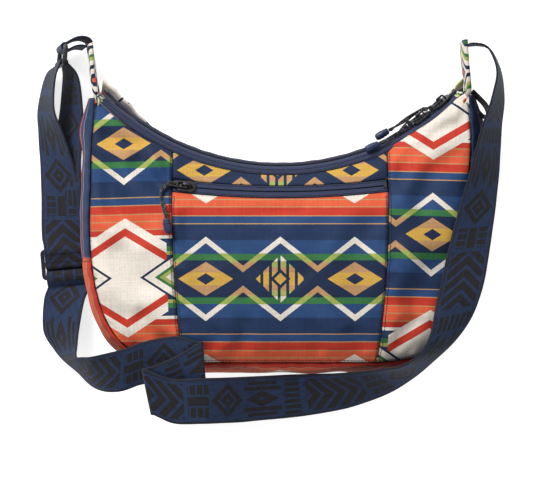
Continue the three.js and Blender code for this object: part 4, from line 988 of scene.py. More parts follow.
def tab_plate(hinge):
    """The flat tab, with an eye for the bridge and a slot for the cord"""
    length, half, near = TAB_LENGTH, TAB_HALF, TAB / 2
    tip = [(-length + 3, half - 0.5), (-length + 1.3, half - 0.9), (-length + 0.35, half - 1.9),
           (-length, 0)]
    outline = [(near, -half), (near, half)] + tip + [(x, -y) for x, y in tip[-2::-1]]
    eye = [(-near, -1.9), (-7.4, -1.9), (-7.4, 1.9), (-near, 1.9)]
    slot = [(-length + 4.6, -1.5), (-length + 2, -1.2), (-length + 2, 1.2), (-length + 4.6, 1.5)]
    return cut_plate(outline, (eye, slot), hinge - TAB / 2, hinge + TAB / 2, 0.32, 3)


def cord_eye(hinge):
    """The cord's own loop through the slot of the tab"""
    turns = np.radians(np.linspace(90, -90, 13))
    x = -TAB_LENGTH + 2.2 + 1.5 * np.cos(turns)
    z = hinge + 1.75 * np.sin(turns)
    upper = [(-TAB_LENGTH - 2.2, 0.9, hinge + 0.5), (-TAB_LENGTH - 0.4, 0.5, hinge + 1.6)]
    lower = [(-TAB_LENGTH - 0.4, -0.5, hinge - 1.6), (-TAB_LENGTH - 2.2, -0.9, hinge - 0.5)]
    middle = [(a, 0.3 * math.sin(t), b) for a, b, t in zip(x, z, turns)]
    return resampled(catmull(np.array(upper + middle + lower), 3), 30)


for pull, facts in PULLS.items():
    place, along, across, out = zip_frame(facts["chain"], facts["angle"])
    axes = [along, -across, out]
    plates = (-1.0, 2.3, 0.8) if facts["chain"] is MAIN else (-3.2, 0.8, 0.7)
    solid_piece(pull + "_slider_body", placed(slider_plates(*plates), axes, place), slider_metal,
                pull + "_zip_slider", pull + "_slider", sharp=34)
    solid_piece(pull + "_tab", placed(tab_plate(facts["hinge"]), axes, place), slider_metal,
                pull + "_zip_pull", pull + "_pull_tab", sharp=34)
    eye_line = np.array(placed((cord_eye(facts["hinge"]), []), axes, place)[0])
    solid_piece(pull + "_cord_eye", tube(eye_line, CORD_RADIUS * 0.95, 10), pull_cord_braid,
                pull + "_zip_pull", None, tube_uv(eye_line, CORD_RADIUS, 10), 60)
print("sliders and tabs:", len(PULLS))

# %% [markdown]
# ## Body panels
# The front is sewn from four panels: two tall ones at the sides, a narrow yoke above the pocket
# zip and the pocket panel below it. Each is a dense grid on the front's own surface. The cloth
# turns down at every seam, it puckers a little beside the stitches, and long soft creases run
# where the filling pulls it. The creases are a short list, because a real bag has only a few.

# %% Creases
# start, end and width in millimetres, and how deep each is beside the others
CREASES = [
    ((-150, 78), (-118, 20), 11, -2.4), ((-128, 96), (-97, 60), 9, -1.7),
    ((-141, 20), (-112, -28), 13, -2.2), ((-155, 112), (-120, 104), 7, -1.8),
    ((-110, 108), (-96, 70), 6, 1.3), ((-122, -40), (-98, -70), 9, -1.8),
    ((150, 96), (118, 40), 11, -2.2), ((132, 104), (101, 66), 9, -1.6), ((146, 10), (112, -46), 13, -2.2),
    ((155, 118), (128, 112), 6, -1.5), ((104, 20), (128, -20), 8, 1.2), ((120, -48), (98, -74), 8, -1.6),
    ((-86, 44), (-58, -4), 12, -1.5), ((84, 40), (60, -10), 12, -1.4), ((-40, -84), (-30, -46), 9, -1.2),
    ((34, -84), (22, -50), 9, -1.2), ((-70, -80), (-52, -58), 8, -1.3), ((72, -80), (58, -56), 8, -1.3),
    ((-30, 48), (30, 50), 8, -0.9), ((-6, 8), (18, -18), 16, -0.8), ((-76, 82), (-40, 74), 5, -0.7),
    ((50, 76), (84, 84), 5, -0.7),
]
CREASE_STRENGTH = 2.6


def crease_depth(x, y):
    """Each crease is a bent furrow that fades at its ends, with a low ridge beside it"""
    total = np.zeros_like(np.asarray(x, float))
    for (x0, y0), (x1, y1), width, depth in CREASES:
        dx, dy = x1 - x0, y1 - y0
        length = math.hypot(dx, dy)
        t = ((x - x0) * dx + (y - y0) * dy) / length ** 2
        side = ((x - x0) * dy - (y - y0) * dx) / length
        bend = side - 0.10 * length * np.sin(math.pi * np.clip(t, 0, 1))
        ends = smooth_step(t * 3 + 0.4) * smooth_step((1 - t) * 3 + 0.4)
        furrow = np.exp(-(bend / width) ** 2)
        ridge = 0.45 * np.exp(-((bend - 1.6 * width) / width) ** 2)
        total += depth * ends * (furrow - ridge)
    return total


print("creases:", len(CREASES))

# %% Sewn surfaces
def soft_noise(x, y, size, seed):
    flat = [noise.noise((a / size, b / size, seed)) for a, b in zip(np.ravel(x), np.ravel(y))]
    return np.array(flat).reshape(np.shape(x))


def sewn_surface(plan, height, seams, roll=1.5, pucker=0.6, seed=0.0):
    """Raises a plan grid to its height, with creases, and with puckers and a roll at its seams.

    seams says how strongly each edge is drawn in: bottom, top, left, right, with 1 for a full seam.
    """
    rows, columns = plan.shape[:2]
    x, y = plan[..., 0], plan[..., 1]
    step_u = np.linalg.norm(np.diff(plan, axis=1), axis=2)
    step_v = np.linalg.norm(np.diff(plan, axis=0), axis=2)
    far_u = np.concatenate([np.zeros((rows, 1)), np.cumsum(step_u, 1)], 1)
    far_v = np.concatenate([np.zeros((1, columns)), np.cumsum(step_v, 0)], 0)
    edges = [far_v, far_v[-1] - far_v, far_u, far_u[:, -1:] - far_u]
    alongs = [far_u, far_u, far_v, far_v]
    z = height(x, y)
    lift = (CREASE_STRENGTH * crease_depth(x, y) + 1.7 * soft_noise(x, y, 36, seed)
            + 0.5 * soft_noise(x, y, 12, seed + 5))
    ease = np.ones_like(z)
    ripple = np.zeros_like(z)
    drop = np.zeros_like(z)
    for k, (edge, along, on) in enumerate(zip(edges, alongs, seams)):
        ease = np.minimum(ease, smooth_step(edge / 14))
        wave = np.sin(along / (2.3 + 0.35 * k) + 2.5 * soft_noise(along, edge * 0 + k, 21, seed + k))
        ripple += pucker * on * wave * np.exp(-((edge - 5) / 5.5) ** 2)
        drop += roll * on * np.clip(1 - edge / 2.4, 0, 1) ** 2
    z = z + lift * ease + ripple - drop
    return np.stack([x, y, z], -1)


def swelled(grid):
    """A grid whose upper corners are pushed outwards along the mouth, as they are on the full bag"""
    x, y = grid[..., 0], grid[..., 1]
    near = smooth_step((np.abs(x) - 110) / 50) * smooth_step((y - 60) / 60)
    push = near * np.where(x < 0, 2.6, 5.5)
    climb = 0.9 * push * smooth_step((y - 112) / 28)
    return np.concatenate([np.stack([x + np.sign(x) * push, y + climb], -1), grid[..., 2:]], -1)


def print_uv(grid, row_at, start, lean=0.0):
    """Cloth coordinates: the print's first row lies at y = row_at, and its figures start at x = start"""
    x = (grid[..., 0] - start) * MM
    y = (grid[..., 1] - row_at) * MM
    c, s = math.cos(math.radians(lean)), math.sin(math.radians(lean))
    return np.stack([x * c - y * s, x * s + y * c], -1)


UP, DOWN, TO_BOTTOM = (0, 0, 1.0), (0, 0, -1.0), (0, -1.0, 0)
PANEL_INSET = CLOTH + 0.45
print("panels stand", PANEL_INSET, "mm inside the outline")

# %% Side panels
corner_share = float(outline_share_at_x(141))
foot_y = outline_point(outline_share_at_x(side_seam_x(-88)), PANEL_INSET)[1]
head_y = arc_point(PANEL_SEAM_X, MOUTH_FRONT_R + SEAM_GAP, MOUTH_CENTRE_Y)[1]
PANEL_LAP = 5.0
HEM = 0.7
TOP_SHARE = 0.995


def lapped_height(x, y):
    """The front's height, with the hem of the right panel laid over the zip tape"""
    inside = MOUTH_FRONT_R - mouth_radius(x, y)
    lap = 0.55 + 1.3 * smooth_step((x - 105) / 20)
    raised = lap * np.exp(-(np.minimum(inside, 0) / 7) ** 2)
    return front_height(x, y) + raised - 0.56 * np.maximum(inside, 0)


def side_plan(sign, columns, rows):
    """A side panel in plan: sign is -1 for the left one, and 1 for the right one, which has the lap"""
    def inner(v):
        y = foot_y + (head_y - foot_y) * v
        return np.stack([sign * (side_seam_x(y) + SEAM_GAP / 2), y], -1)

    def outer(v):
        return outline_point(sign * (corner_share + (TOP_SHARE - corner_share) * v), PANEL_INSET)

    foot_x = abs(inner(np.array([0.0]))[0, 0])
    foot_share = float(outline_share_at_x(foot_x))
    corner_top = outline_point(sign * TOP_SHARE, PANEL_INSET)

    def foot(u):
        p = outline_point(sign * (foot_share + (corner_share - foot_share) * u), PANEL_INSET)
        p[0] = inner(np.array([0.0]))[0]
        return p

    def head(u):
        x = inner(np.array([1.0]))[0, 0]
        x = x + (corner_top[0] - x) * u
        lap = (PANEL_LAP if sign > 0 else 0) * smooth_step(u / 0.10) * smooth_step((1 - u) / 0.06)
        p = arc_point(x, MOUTH_FRONT_R + SEAM_GAP - lap, MOUTH_CENTRE_Y)
        p[-1] = corner_top
        return p

    return coons(foot, head, inner, outer, columns, rows)


side_surfaces = {}
for name, sign, row_at, start, seed in (
        ("left_panel", -1, 103, -136, 1.0), ("right_panel", 1, 24, 131, 2.0)):
    plan = side_plan(sign, 38, 104)
    height = lapped_height if sign > 0 else front_height
    surface = swelled(sewn_surface(plan, height, (1, 0.6, 1, 1), seed=seed))
    over_tape = smooth_step((MOUTH_FRONT_R + 3 - mouth_radius(plan[..., 0], plan[..., 1])) / 3)
    thickness = CLOTH + (HEM - CLOTH) * over_tape * (sign > 0)
    panel = sheet(name, surface, thickness[..., None], UP, print_uv(surface, row_at, start, 1.5 * sign))
    dress(panel, print_cloth, "bag", "front_left_panel" if sign < 0 else "front_right_panel")
    side_surfaces[sign] = surface
print("side panels:", side_surfaces[1].shape)

# %% Yoke and pocket panel
ZIP_HALF = 5.5 * math.cos(math.radians(POCKET_TILT)) + 2 * SEAM_GAP
half_width = PANEL_SEAM_X - SEAM_GAP / 2


def across_arc(radius, centre_y, half):
    """An edge along an arc, as a function of the share of its length"""
    return lambda u: arc_point(-half + 2 * half * u, radius, centre_y)


def straight_side(bottom, top, u):
    """A straight edge from a place on the bottom edge to the same place on the top edge"""
    a, b = bottom(np.array([u]))[0], top(np.array([u]))[0]
    return lambda v: a + (b - a) * v[:, None]


yoke_foot = across_arc(POCKET_R - ZIP_HALF, POCKET_CENTRE_Y, half_width)
yoke_head = across_arc(MOUTH_FRONT_R + SEAM_GAP, MOUTH_CENTRE_Y, half_width)
yoke_plan = coons(yoke_foot, yoke_head, straight_side(yoke_foot, yoke_head, 0),
                  straight_side(yoke_foot, yoke_head, 1), 110, 14)
yoke_surface = sewn_surface(yoke_plan, front_height, (0.4, 0.5, 1, 1), roll=1.0, pucker=0.3, seed=3.0)
yoke = sheet("yoke_cloth", yoke_surface, CLOTH, UP, print_uv(yoke_surface, 80, -66))
dress(yoke, print_cloth, "bag", "front_yoke")

pocket_head = across_arc(POCKET_R + ZIP_HALF, POCKET_CENTRE_Y, half_width)
pocket_top_y = pocket_head(np.array([0.0]))[0, 1]


def pocket_side(sign):
    def edge(v):
        y = foot_y + (pocket_top_y - foot_y) * v
        return np.stack([sign * (side_seam_x(y) - SEAM_GAP / 2), y], -1)
    return edge


def pocket_foot(u):
    half = pocket_side(1)(np.array([0.0]))[0, 0]
    x = -half + 2 * half * u
    p = outline_point(outline_share_at_x(np.abs(x)), PANEL_INSET)
    p[:, 0] = x
    return p


pocket_plan = coons(pocket_foot, pocket_head, pocket_side(-1), pocket_side(1), 90, 72)
pocket_surface = sewn_surface(pocket_plan, front_height, (1, 0.4, 1, 1), seed=4.0)
pocket = sheet("pocket_panel_cloth", pocket_surface, CLOTH, UP, print_uv(pocket_surface, -14, -64))
dress(pocket, print_cloth, "bag", "pocket_panel")
print("yoke and pocket panel:", len(yoke.data.polygons) + len(pocket.data.polygons), "faces")

# %% [markdown]
# ## Gusset and back
# One long strip of cloth runs round the sides and the bottom between the front and the back, and
# it bulges where the filling pushes it out. The back is one panel that lies flat in its middle and
# rises to the mouth.

# %% Gusset
GUSSET_JOIN = 0.62
GUSSET_CLOTH = 50


def gusset_point(share, across):
    """A place by share of the outline and by share of the way from the front seam to the back seam"""
    seam = outline_point(share)
    front = seam_height(seam[..., 0], seam[..., 1])
    back = back_height(seam[..., 0], seam[..., 1])
    corner_swell = 8 * np.exp(-((np.abs(share) - 0.94) / 0.06) ** 2)
    bulge = 3 + 6 * smooth_step((1 - np.abs(share)) / 0.25) + corner_swell
    p = outline_point(share, -bulge * np.sin(math.pi * across))
    return np.concatenate([p, (front + (back - front) * across)[..., None]], -1)


shares, acrosses = np.meshgrid(np.linspace(-1, 1, 331), np.linspace(0, 1, 22), indexing="ij")
gusset_grid = gusset_point(shares, acrosses)
gusset_far = run_of(gusset_grid[:, 10])
gusset_deep = acrosses * GUSSET_CLOTH
gusset_along = gusset_far[:, None] + 0 * gusset_deep
gusset_out = grid_normals(gusset_grid)
if np.dot(gusset_out[0, 10], (-1, 0, 0)) < 0:
    gusset_out = -gusset_out
near_edge = np.minimum(gusset_deep, GUSSET_CLOTH - gusset_deep)
free = smooth_step(near_edge / 12)
puckers = np.sin(gusset_along / 2.6 + 2.5 * soft_noise(gusset_along, 0 * gusset_deep, 24, 9.0))
waves = 1.5 * soft_noise(gusset_along, gusset_deep, 26, 8.0) * free
waves += 0.5 * puckers * np.exp(-((near_edge - 5) / 5) ** 2)
waves -= 0.9 * np.exp(-((np.abs(shares) - GUSSET_JOIN) / 0.004) ** 2) * free
gusset_grid = swelled(gusset_grid + gusset_out * waves[..., None])


def gusset_uv():
    """The three lengths that the strip is sewn from are cut from different bands of the print"""
    side_piece = np.abs(shares) > GUSSET_JOIN
    u = (gusset_along - gusset_far[-1] / 2) * MM
    v = gusset_deep * MM + np.where(side_piece, 0.0365, 0.0555)
    return np.stack([u, v], -1)


gusset_piece = sheet("gusset_cloth", gusset_grid, CLOTH, TO_BOTTOM, gusset_uv())
dress(gusset_piece, print_cloth, "bag", "gusset")
print("gusset", round(float(gusset_far[-1])), "mm long")

# %% Back panel
def back_plan(columns, rows):
    """The back in plan: its sides follow the outline, and turn in to the mouth near the top"""
    turn_in = 0.93
    corner_x = outline_point(1.0, PANEL_INSET)[0]
    head = across_arc(MOUTH_BACK_R + SEAM_GAP, MOUTH_CENTRE_Y, corner_x)

    def side(sign):
        def edge(v):
            share = corner_share + (1 - corner_share) * np.minimum(v / turn_in, 1)
            below = outline_point(sign * share, PANEL_INSET)
            end = head(np.array([1.0 if sign > 0 else 0.0]))[0]
            rise = np.clip((v - turn_in) / 0.07, 0, 1)[:, None]
            return below * (1 - rise) + end * rise
        return edge

    def bottom(u):
        return outline_point(corner_share * (2 * u - 1), PANEL_INSET)

    return coons(bottom, head, side(-1), side(1), columns, rows)


back_plan_grid = back_plan(120, 84)
back_x, back_y = back_plan_grid[..., 0], back_plan_grid[..., 1]
back_z = back_height(back_x, back_y)
raised_part = smooth_step(back_z / 8)
folds = 0.5 * np.sin(back_x / 6) * smooth_step((back_z - 6) / 10)
back_z = back_z + raised_part * (0.9 * soft_noise(back_x, back_y, 26, 12.0) + folds)
back_z = np.maximum(back_z, 0)
# the hem stands a little above the zip, and most at the two corners, where the cloth is gathered
hem = np.linspace(0, 1, back_z.shape[0])[:, None]
stand = 1.2 + 6.5 * smooth_step((-back_x - 104) / 42) + 2.4 * smooth_step((back_x - 122) / 30)
stand = stand * smooth_step((hem - 0.9) / 0.1) * (1 + 0.10 * np.sin(back_x / 2.2))
towards = np.stack([-back_x, MOUTH_CENTRE_Y - back_y], -1) / mouth_radius(back_x, back_y)[..., None]
back_z = back_z + 0.9 * stand * smooth_step((hem - 0.93) / 0.07)
back_grid = swelled(np.concatenate([back_plan_grid + towards * stand[..., None], back_z[..., None]], -1))
back = sheet("back_cloth", back_grid, CLOTH, DOWN, print_uv(back_grid, 24, -30))
dress(back, print_cloth, "bag", "back_panel")
print("back:", len(back.data.polygons), "faces")

# %% [markdown]
# ## Zip tapes and teeth
# Each tape is a narrow strip that follows its arc, bent where it leaves the chain. The teeth are
# made by Geometry Nodes: one small tooth is set along a line at an even pitch, upright on the
# tape. The same group later makes every row of stitches from one short length of thread.

# %% A group that repeats a part
def repeat_group():
    """Lines become curves with even points, and each point carries a copy of the unit.

    The unit's x runs along the line and its z along the line's own up directions. Unevenness
    turns each copy a little about z, by a fixed seed.
    """
    group = bpy.data.node_groups.new("repeat along lines", "GeometryNodeTree")
    face = group.interface
    face.new_socket("Geometry", in_out="INPUT", socket_type="NodeSocketGeometry")
    for label, kind in (("Unit", "Object"), ("Pitch", "Float"), ("Unevenness", "Float"), ("Seed", "Int"),
                        ("Finish", "Material")):
        face.new_socket(label, in_out="INPUT", socket_type="NodeSocket" + kind)
    face.new_socket("Geometry", in_out="OUTPUT", socket_type="NodeSocketGeometry")

    def node(kind, **settings):
        made = group.nodes.new(kind)
        for key, value in settings.items():
            setattr(made, key, value)
        return made

    given, result = node("NodeGroupInput"), node("NodeGroupOutput")
    to_curve = node("GeometryNodeMeshToCurve")
    even = node("GeometryNodeResampleCurve", mode="LENGTH")
    tangent = node("GeometryNodeInputTangent")
    up = node("GeometryNodeInputNamedAttribute", data_type="FLOAT_VECTOR")
    up.inputs["Name"].default_value = "up"
    facing = node("FunctionNodeAxesToRotation", primary_axis="X", secondary_axis="Z")
    chance = node("FunctionNodeRandomValue", data_type="FLOAT")
    below = node("ShaderNodeMath", operation="MULTIPLY")
    below.inputs[1].default_value = -1
    angles = node("ShaderNodeCombineXYZ")
    turn = node("FunctionNodeEulerToRotation")
    both = node("FunctionNodeRotateRotation", rotation_space="LOCAL")
    shape = node("GeometryNodeObjectInfo")
    shape.inputs["As Instance"].default_value = True
    copies = node("GeometryNodeInstanceOnPoints")
    real = node("GeometryNodeRealizeInstances")
    dressed = node("GeometryNodeSetMaterial")
    links = (
        (given.outputs["Geometry"], to_curve.inputs[0]), (to_curve.outputs[0], even.inputs["Curve"]),
        (given.outputs["Pitch"], even.inputs["Length"]), (even.outputs[0], copies.inputs["Points"]),
        (given.outputs["Unit"], shape.inputs["Object"]),
        (shape.outputs["Geometry"], copies.inputs["Instance"]),
        (tangent.outputs[0], facing.inputs["Primary Axis"]),
        (up.outputs["Attribute"], facing.inputs["Secondary Axis"]),
        (given.outputs["Unevenness"], below.inputs[0]), (below.outputs[0], chance.inputs[2]),
        (given.outputs["Unevenness"], chance.inputs[3]), (given.outputs["Seed"], chance.inputs["Seed"]),
        (chance.outputs[1], angles.inputs[2]), (angles.outputs[0], turn.inputs[0]),
        (facing.outputs[0], both.inputs["Rotation"]), (turn.outputs[0], both.inputs["Rotate By"]),
        (both.outputs[0], copies.inputs["Rotation"]), (copies.outputs[0], real.inputs[0]),
        (real.outputs[0], dressed.inputs["Geometry"]),
        (given.outputs["Finish"], dressed.inputs["Material"]),
        (dressed.outputs[0], result.inputs[0]),
    )
    for start, end in links:
        group.links.new(start, end)
    return group


repeat = repeat_group()
print("repeat group has", len(repeat.nodes), "nodes")

# %% Repeats along lines
def repeated(name, unit_part, lines, pitch, material, body, unevenness, seed, node=None):
    """One piece of many copies of a small part, set along lines of (points, up directions)"""
    unit_object = new_mesh(name + "_unit", unit_part[0], unit_part[1])
    mesh = bpy.data.meshes.new(name + "_lines")
    points, ups, edges = [], [], []
    for line, up in lines:
        edges += [(len(points) + k, len(points) + k + 1) for k in range(len(line) - 1)]
        points += [tuple(float(c) * MM for c in p) for p in line]
        ups += [tuple(float(c) for c in n) for n in up]
    mesh.from_pydata(points, edges, [])
    layer = mesh.attributes.new("up", "FLOAT_VECTOR", "POINT")
    layer.data.foreach_set("vector", np.array(ups, np.float32).ravel())
    carrier = linked(name + "_lines", mesh)
    modifier = carrier.modifiers.new("repeat", "NODES")
    modifier.node_group = repeat
    values = {"Unit": unit_object, "Pitch": pitch * MM, "Unevenness": unevenness, "Seed": seed,
              "Finish": material}
    for item in repeat.interface.items_tree:
        if item.in_out == "INPUT" and item.name in values:
            modifier[item.identifier] = values[item.name]
    carrier.update_tag()
    made = evaluated_mesh(carrier)
    made.name = name
    made.shade_smooth()
    piece = linked(name, made)
    bpy.data.objects.remove(carrier)
    bpy.data.objects.remove(unit_object)
    return dress(piece, None, body, node)


print("repeats ready")

# %% Zip tapes
def two_faced(name, outer, inner, uv):
    """A closed sheet between two grids of points, turned so that its volume is above 0"""
    faces = closed_faces(*outer.shape[:2])
    points = np.concatenate([outer.reshape(-1, 3), inner.reshape(-1, 3)])
    corner = points[faces]
    volume = np.einsum("ij,ij->i", corner[:, 0], np.cross(corner[:, 1], corner[:, 2])).sum()
    volume += np.einsum("ij,ij->i", corner[:, 0], np.cross(corner[:, 2], corner[:, 3])).sum()
    if volume < 0:
        faces = faces[:, ::-1]
    return new_mesh(name, points, faces, np.concatenate([uv.reshape(-1, 2)] * 2))


def across_and_out(chain, radius, z):
    """A place given by its distance from the arc's centre and its height, as zip_point takes it"""
    tilt = math.radians(chain["tilt"])
    dr, dz = radius - chain["radius"], z - chain["z"]
    return dr * math.cos(tilt) + dz * math.sin(tilt), -dr * math.sin(tilt) + dz * math.cos(tilt)


TAPE = 0.8


def tape_piece(name, chain, line, node, steps=220):
    """A tape along its chain; line is its section, from the teeth to the cloth"""
    line = resampled(catmull(np.array(line), 5), 12) if len(line) > 2 else resampled(np.array(line), 9)
    angles = np.linspace(-chain["end"], chain["end"], steps + 1)
    grid = np.stack([zip_point(chain, angles, a, b) for a, b in line], 1)
    far = np.radians(angles - angles[0]) * chain["radius"]
    wave = 0.16 * np.sin(far / 4.3 + np.sin(far / 17) * 1.4) + 0.12 * np.sin(far / 2.1)
    away = zip_frame(chain, angles)[3]
    share = np.linspace(0, 1, grid.shape[1])
    grid = grid + (away * wave[:, None])[:, None] * (np.sin(math.pi * share) ** 2)[None, :, None]
    uv = np.stack(np.broadcast_arrays(far[:, None] * MM, run_of(grid[0])[None] * MM), -1)
    half = grid_normals(grid) * (TAPE / 2)
    dress(two_faced(name, grid + half, grid - half, uv), zip_tape, "bag", node)
    return grid


COIL_EDGE, TAPE_BEND = 2.9, 6.6
front_line = [(COIL_EDGE, 0), (4.8, 0), (TAPE_BEND, 0.1),
              across_and_out(MAIN, MOUTH_FRONT_R - 0.1, FRONT_RIM_Z - 0.6)]
back_line = [(-COIL_EDGE, 0), (-4.8, 0), (-TAPE_BEND, 0.1),
             across_and_out(MAIN, MOUTH_BACK_R + 0.6, BACK_RIM_Z + 0.9)]
front_tape = tape_piece("main_front_tape", MAIN, front_line, "main_zip_front_tape")
tape_piece("main_back_tape", MAIN, back_line, "main_zip_back_tape")
lower_tape = tape_piece("pocket_lower_tape", POCKET, [(0.6, 0), (5.5, 0)], "pocket_zip_lower_tape")
upper_tape = tape_piece("pocket_upper_tape", POCKET, [(-0.6, 0), (-5.5, 0)], "pocket_zip_upper_tape")
print("zip tapes made")

# %% Teeth
def tooth(reach, rise, thick=0.52):
    """One turn of a coil: a flat loop that leans over its tape and hooks past the middle"""
    turns = np.radians(np.linspace(-150, 150, 9))
    line = [(0.12 * math.sin(t), reach * (0.5 + 0.5 * math.cos(t)), rise * math.sin(t)) for t in turns]
    return tube(line, thick / 2, 6)


TOOTH_PITCH = 1.2


def teeth_rows(name, chain, near, far, low, high, node_names):
    """Both rows of a zip, which reach from near to far across it and from low to high out of it"""
    reach, rise, middle, steps = far - near, (high - low) / 2 - 0.25, (low + high) / 2, 240
    for side, node in zip((1, -1), node_names):
        angles = np.linspace(-chain["end"] + 0.1, chain["end"] - 0.1, steps)
        # the teeth of one row stand between those of the other
        shift = TOOTH_PITCH / 2 if side < 0 else 0.0
        angles = angles + math.degrees(shift / chain["radius"])
        line = zip_point(chain, angles, side * 0.3, middle)
        ups = zip_frame(chain, angles)[3]
        points, faces = tooth(reach + 0.3, rise)
        # a tooth's own y points across to the back, so the front row is turned round
        part = ([np.array([p[0], -side * p[1], p[2]]) for p in points],
                faces if side < 0 else [f[::-1] for f in faces])
        repeated(f"{name}_{'front' if side > 0 else 'back'}", part, [(line, ups)], TOOTH_PITCH, coil_finish,
                 "bag", 0.02, 3, node)


teeth_rows("main_teeth", MAIN, 0.6, 2.6, -0.3, 1.9, ("main_zip_coil_front", "main_zip_coil_back"))
teeth_rows("pocket_teeth", POCKET, 0.6, 2.4, -2.6, -0.8, ("pocket_zip_coil_lower", "pocket_zip_coil_upper"))
print("rows of teeth made")

# %% [markdown]
# ## Webbing and loops
# Webbing is a ribbon given by its two edges at a few stations. It is filled in with a smooth
# curve, cupped a little across, and given a rounded selvedge. The strap's stations go from its
# sewn end at the adjuster, up round the ring, back down through the adjuster, round the bag's
# lower corner, over two folds, and up the other side.

# %% Ribbon tools
def station(middle, across, width):
    """The two edge points of a ribbon at one place"""
    half = unit(across) * width / 2
    return np.array([np.asarray(middle, float) - half, np.asarray(middle, float) + half])


def smooth_run(stations, step):
    """Fills in between stations, each a pair of edge points, so that a few make a smooth run"""
    rows = np.array(stations, float)
    dense = catmull(rows.reshape(len(rows), 6), 24)
    far = run_of(dense.reshape(-1, 2, 3).mean(1))
    places = np.linspace(0, far[-1], max(2, int(round(far[-1] / step)) + 1))
    return np.stack([np.interp(places, far, dense[:, k]) for k in range(6)], 1).reshape(-1, 2, 3)


def turned_stations(centre, first, second, along, radius, start, end, steps, width):
    """Stations round a bar that runs along: the angles go from the first direction to the second"""
    turns = np.radians(np.linspace(start, end, steps + 1))
    middles = [centre + radius * (first * math.cos(t) + second * math.sin(t)) for t in turns]
    return np.array([station(middle, along, width) for middle in middles])


def ribbon(name, stations, thickness, material, node, columns, cup=0.0, start=0.0):
    """A woven ribbon with round selvedges; its u runs across it and its v along it, in metres"""
    rows = np.asarray(stations)
    shares = (1 - np.cos(np.linspace(0, math.pi, columns + 1))) / 2
    shares = 0.55 * shares + 0.45 * np.linspace(0, 1, columns + 1)
    grid = rows[:, None, 0] * (1 - shares)[None, :, None] + rows[:, None, 1] * shares[None, :, None]
    normal = grid_normals(grid)
    width = np.linalg.norm(rows[:, 1] - rows[:, 0], axis=1)
    far = run_of(grid[:, columns // 2])
    bow = cup * (np.sin(math.pi * shares) ** 1.5)[None] * (1 + 0.5 * np.sin(far / 41))[:, None]
    ripple = 0.10 * np.sin(far / 5.1)[:, None] * (np.abs(2 * shares - 1) ** 3)[None]
    grid = grid + normal * (bow + ripple)[..., None]
    edge = np.minimum(shares, 1 - shares)[None] * width[:, None]
    full = thickness / 2 * (0.35 + 0.65 * np.sqrt(np.clip(edge / 0.9, 0, 1)))
    full = full + 0.12 * np.exp(-((edge - 1.5) / 0.8) ** 2)
    half = grid_normals(grid) * full[..., None]
    uv = np.stack(np.broadcast_arrays(shares[None] * width[:, None] * MM, far[:, None] * MM + start), -1)
    dress(two_faced(name, grid + half, grid - half, uv), material, "bag", node)
    print(name, round(float(far[-1])), "mm long")
    return grid


print("ribbon tools ready")

# %% Ring
RING_CENTRE, RING_BAR = np.array([-193.1, 182.3, 26]), 4.2
RING_LONG, RING_SHORT = unit((0.21, 0, 0.977)), unit((-0.09, -0.996, 0.019))
RING_HALF_LONG, RING_HALF_SHORT, RING_CORNER = 22.9, 7.2, 3.0
WEBBING_THICK, WEBBING_WIDTH, ANCHOR_WIDTH = 1.6, 40, 38


def ring_part(sides=18, corner_steps=8):
    """A round bar bent to a long ring with round corners"""
    centres, outwards = [], []
    for a, b, start in ((1, 1, 0), (-1, 1, 90), (-1, -1, 180), (1, -1, 270)):
        for k in range(corner_steps + 1):
            turn = math.radians(start + 90 * k / corner_steps)
            away = RING_LONG * math.cos(turn) + RING_SHORT * math.sin(turn)
            centre = (RING_CENTRE + RING_LONG * a * (RING_HALF_LONG - RING_CORNER)
                      + RING_SHORT * b * (RING_HALF_SHORT - RING_CORNER) + away * RING_CORNER)
            centres.append(centre)
            outwards.append(away)
    side = np.cross(RING_LONG, RING_SHORT)
    points, faces = [], []
    count = len(centres)
    for centre, away in zip(centres, outwards):
        points += round_points(centre, away, side, RING_BAR / 2, sides)
    for k in range(count):
        for j in range(sides):
            a, b = k * sides + j, k * sides + (j + 1) % sides
            c, d = ((k + 1) % count) * sides + (j + 1) % sides, ((k + 1) % count) * sides + j
            faces.append((a, b, c, d))
    return points, faces


def facing_out(part):
    """The same part with its faces turned outwards"""
    points, faces = np.asarray(part[0]), part[1]
    volume = sum(float(np.dot(points[f[0]], np.cross(points[f[i]], points[f[i + 1]])))
                 for f in faces for i in range(1, len(f) - 1))
    return part[0], faces if volume > 0 else [f[::-1] for f in faces]


solid_piece("ring", facing_out(ring_part()), dark_plastic, "bag", "strap_ring", sharp=60)
print("ring", round(2 * RING_HALF_LONG + RING_BAR, 1), "mm long")

# %% Webbing that holds the ring
WRAP_RADIUS = RING_BAR / 2 + WEBBING_THICK / 2 + SEAM_GAP
RING_FIRST, RING_SECOND = -np.cross(RING_LONG, (0, 1.0, 0)), np.array([0, 1.0, 0])


def ring_bar(side):
    """The middle of one of the ring's long sides"""
    return RING_CENTRE + RING_SHORT * side * RING_HALF_SHORT


ANCHOR_OUTER = [(-168.4, 193.3), (-171, 196.3), (-176, 198), (-182, 197.4), (-187.6, 194.9)]
ANCHOR_INNER = [(-188.6, 187.2), (-184, 189.4), (-179, 190.4), (-173.2, 189.7)]


def anchor_stations():
    """Out of the loop, round the ring and back into the loop"""
    outer, inner = [[station((x, y, RING_CENTRE[2]), RING_LONG, ANCHOR_WIDTH) for x, y in places]
                    for places in (ANCHOR_OUTER, ANCHOR_INNER)]
    wrap = turned_stations(ring_bar(-1), RING_FIRST, RING_SECOND, RING_LONG, WRAP_RADIUS, 80, 270, 12,
                           ANCHOR_WIDTH)
    return smooth_run([*outer, *wrap, *inner], 1.0)


ribbon("ring_webbing", anchor_stations(), WEBBING_THICK, webbing, "anchor_webbing", 14,
       start=0.112)

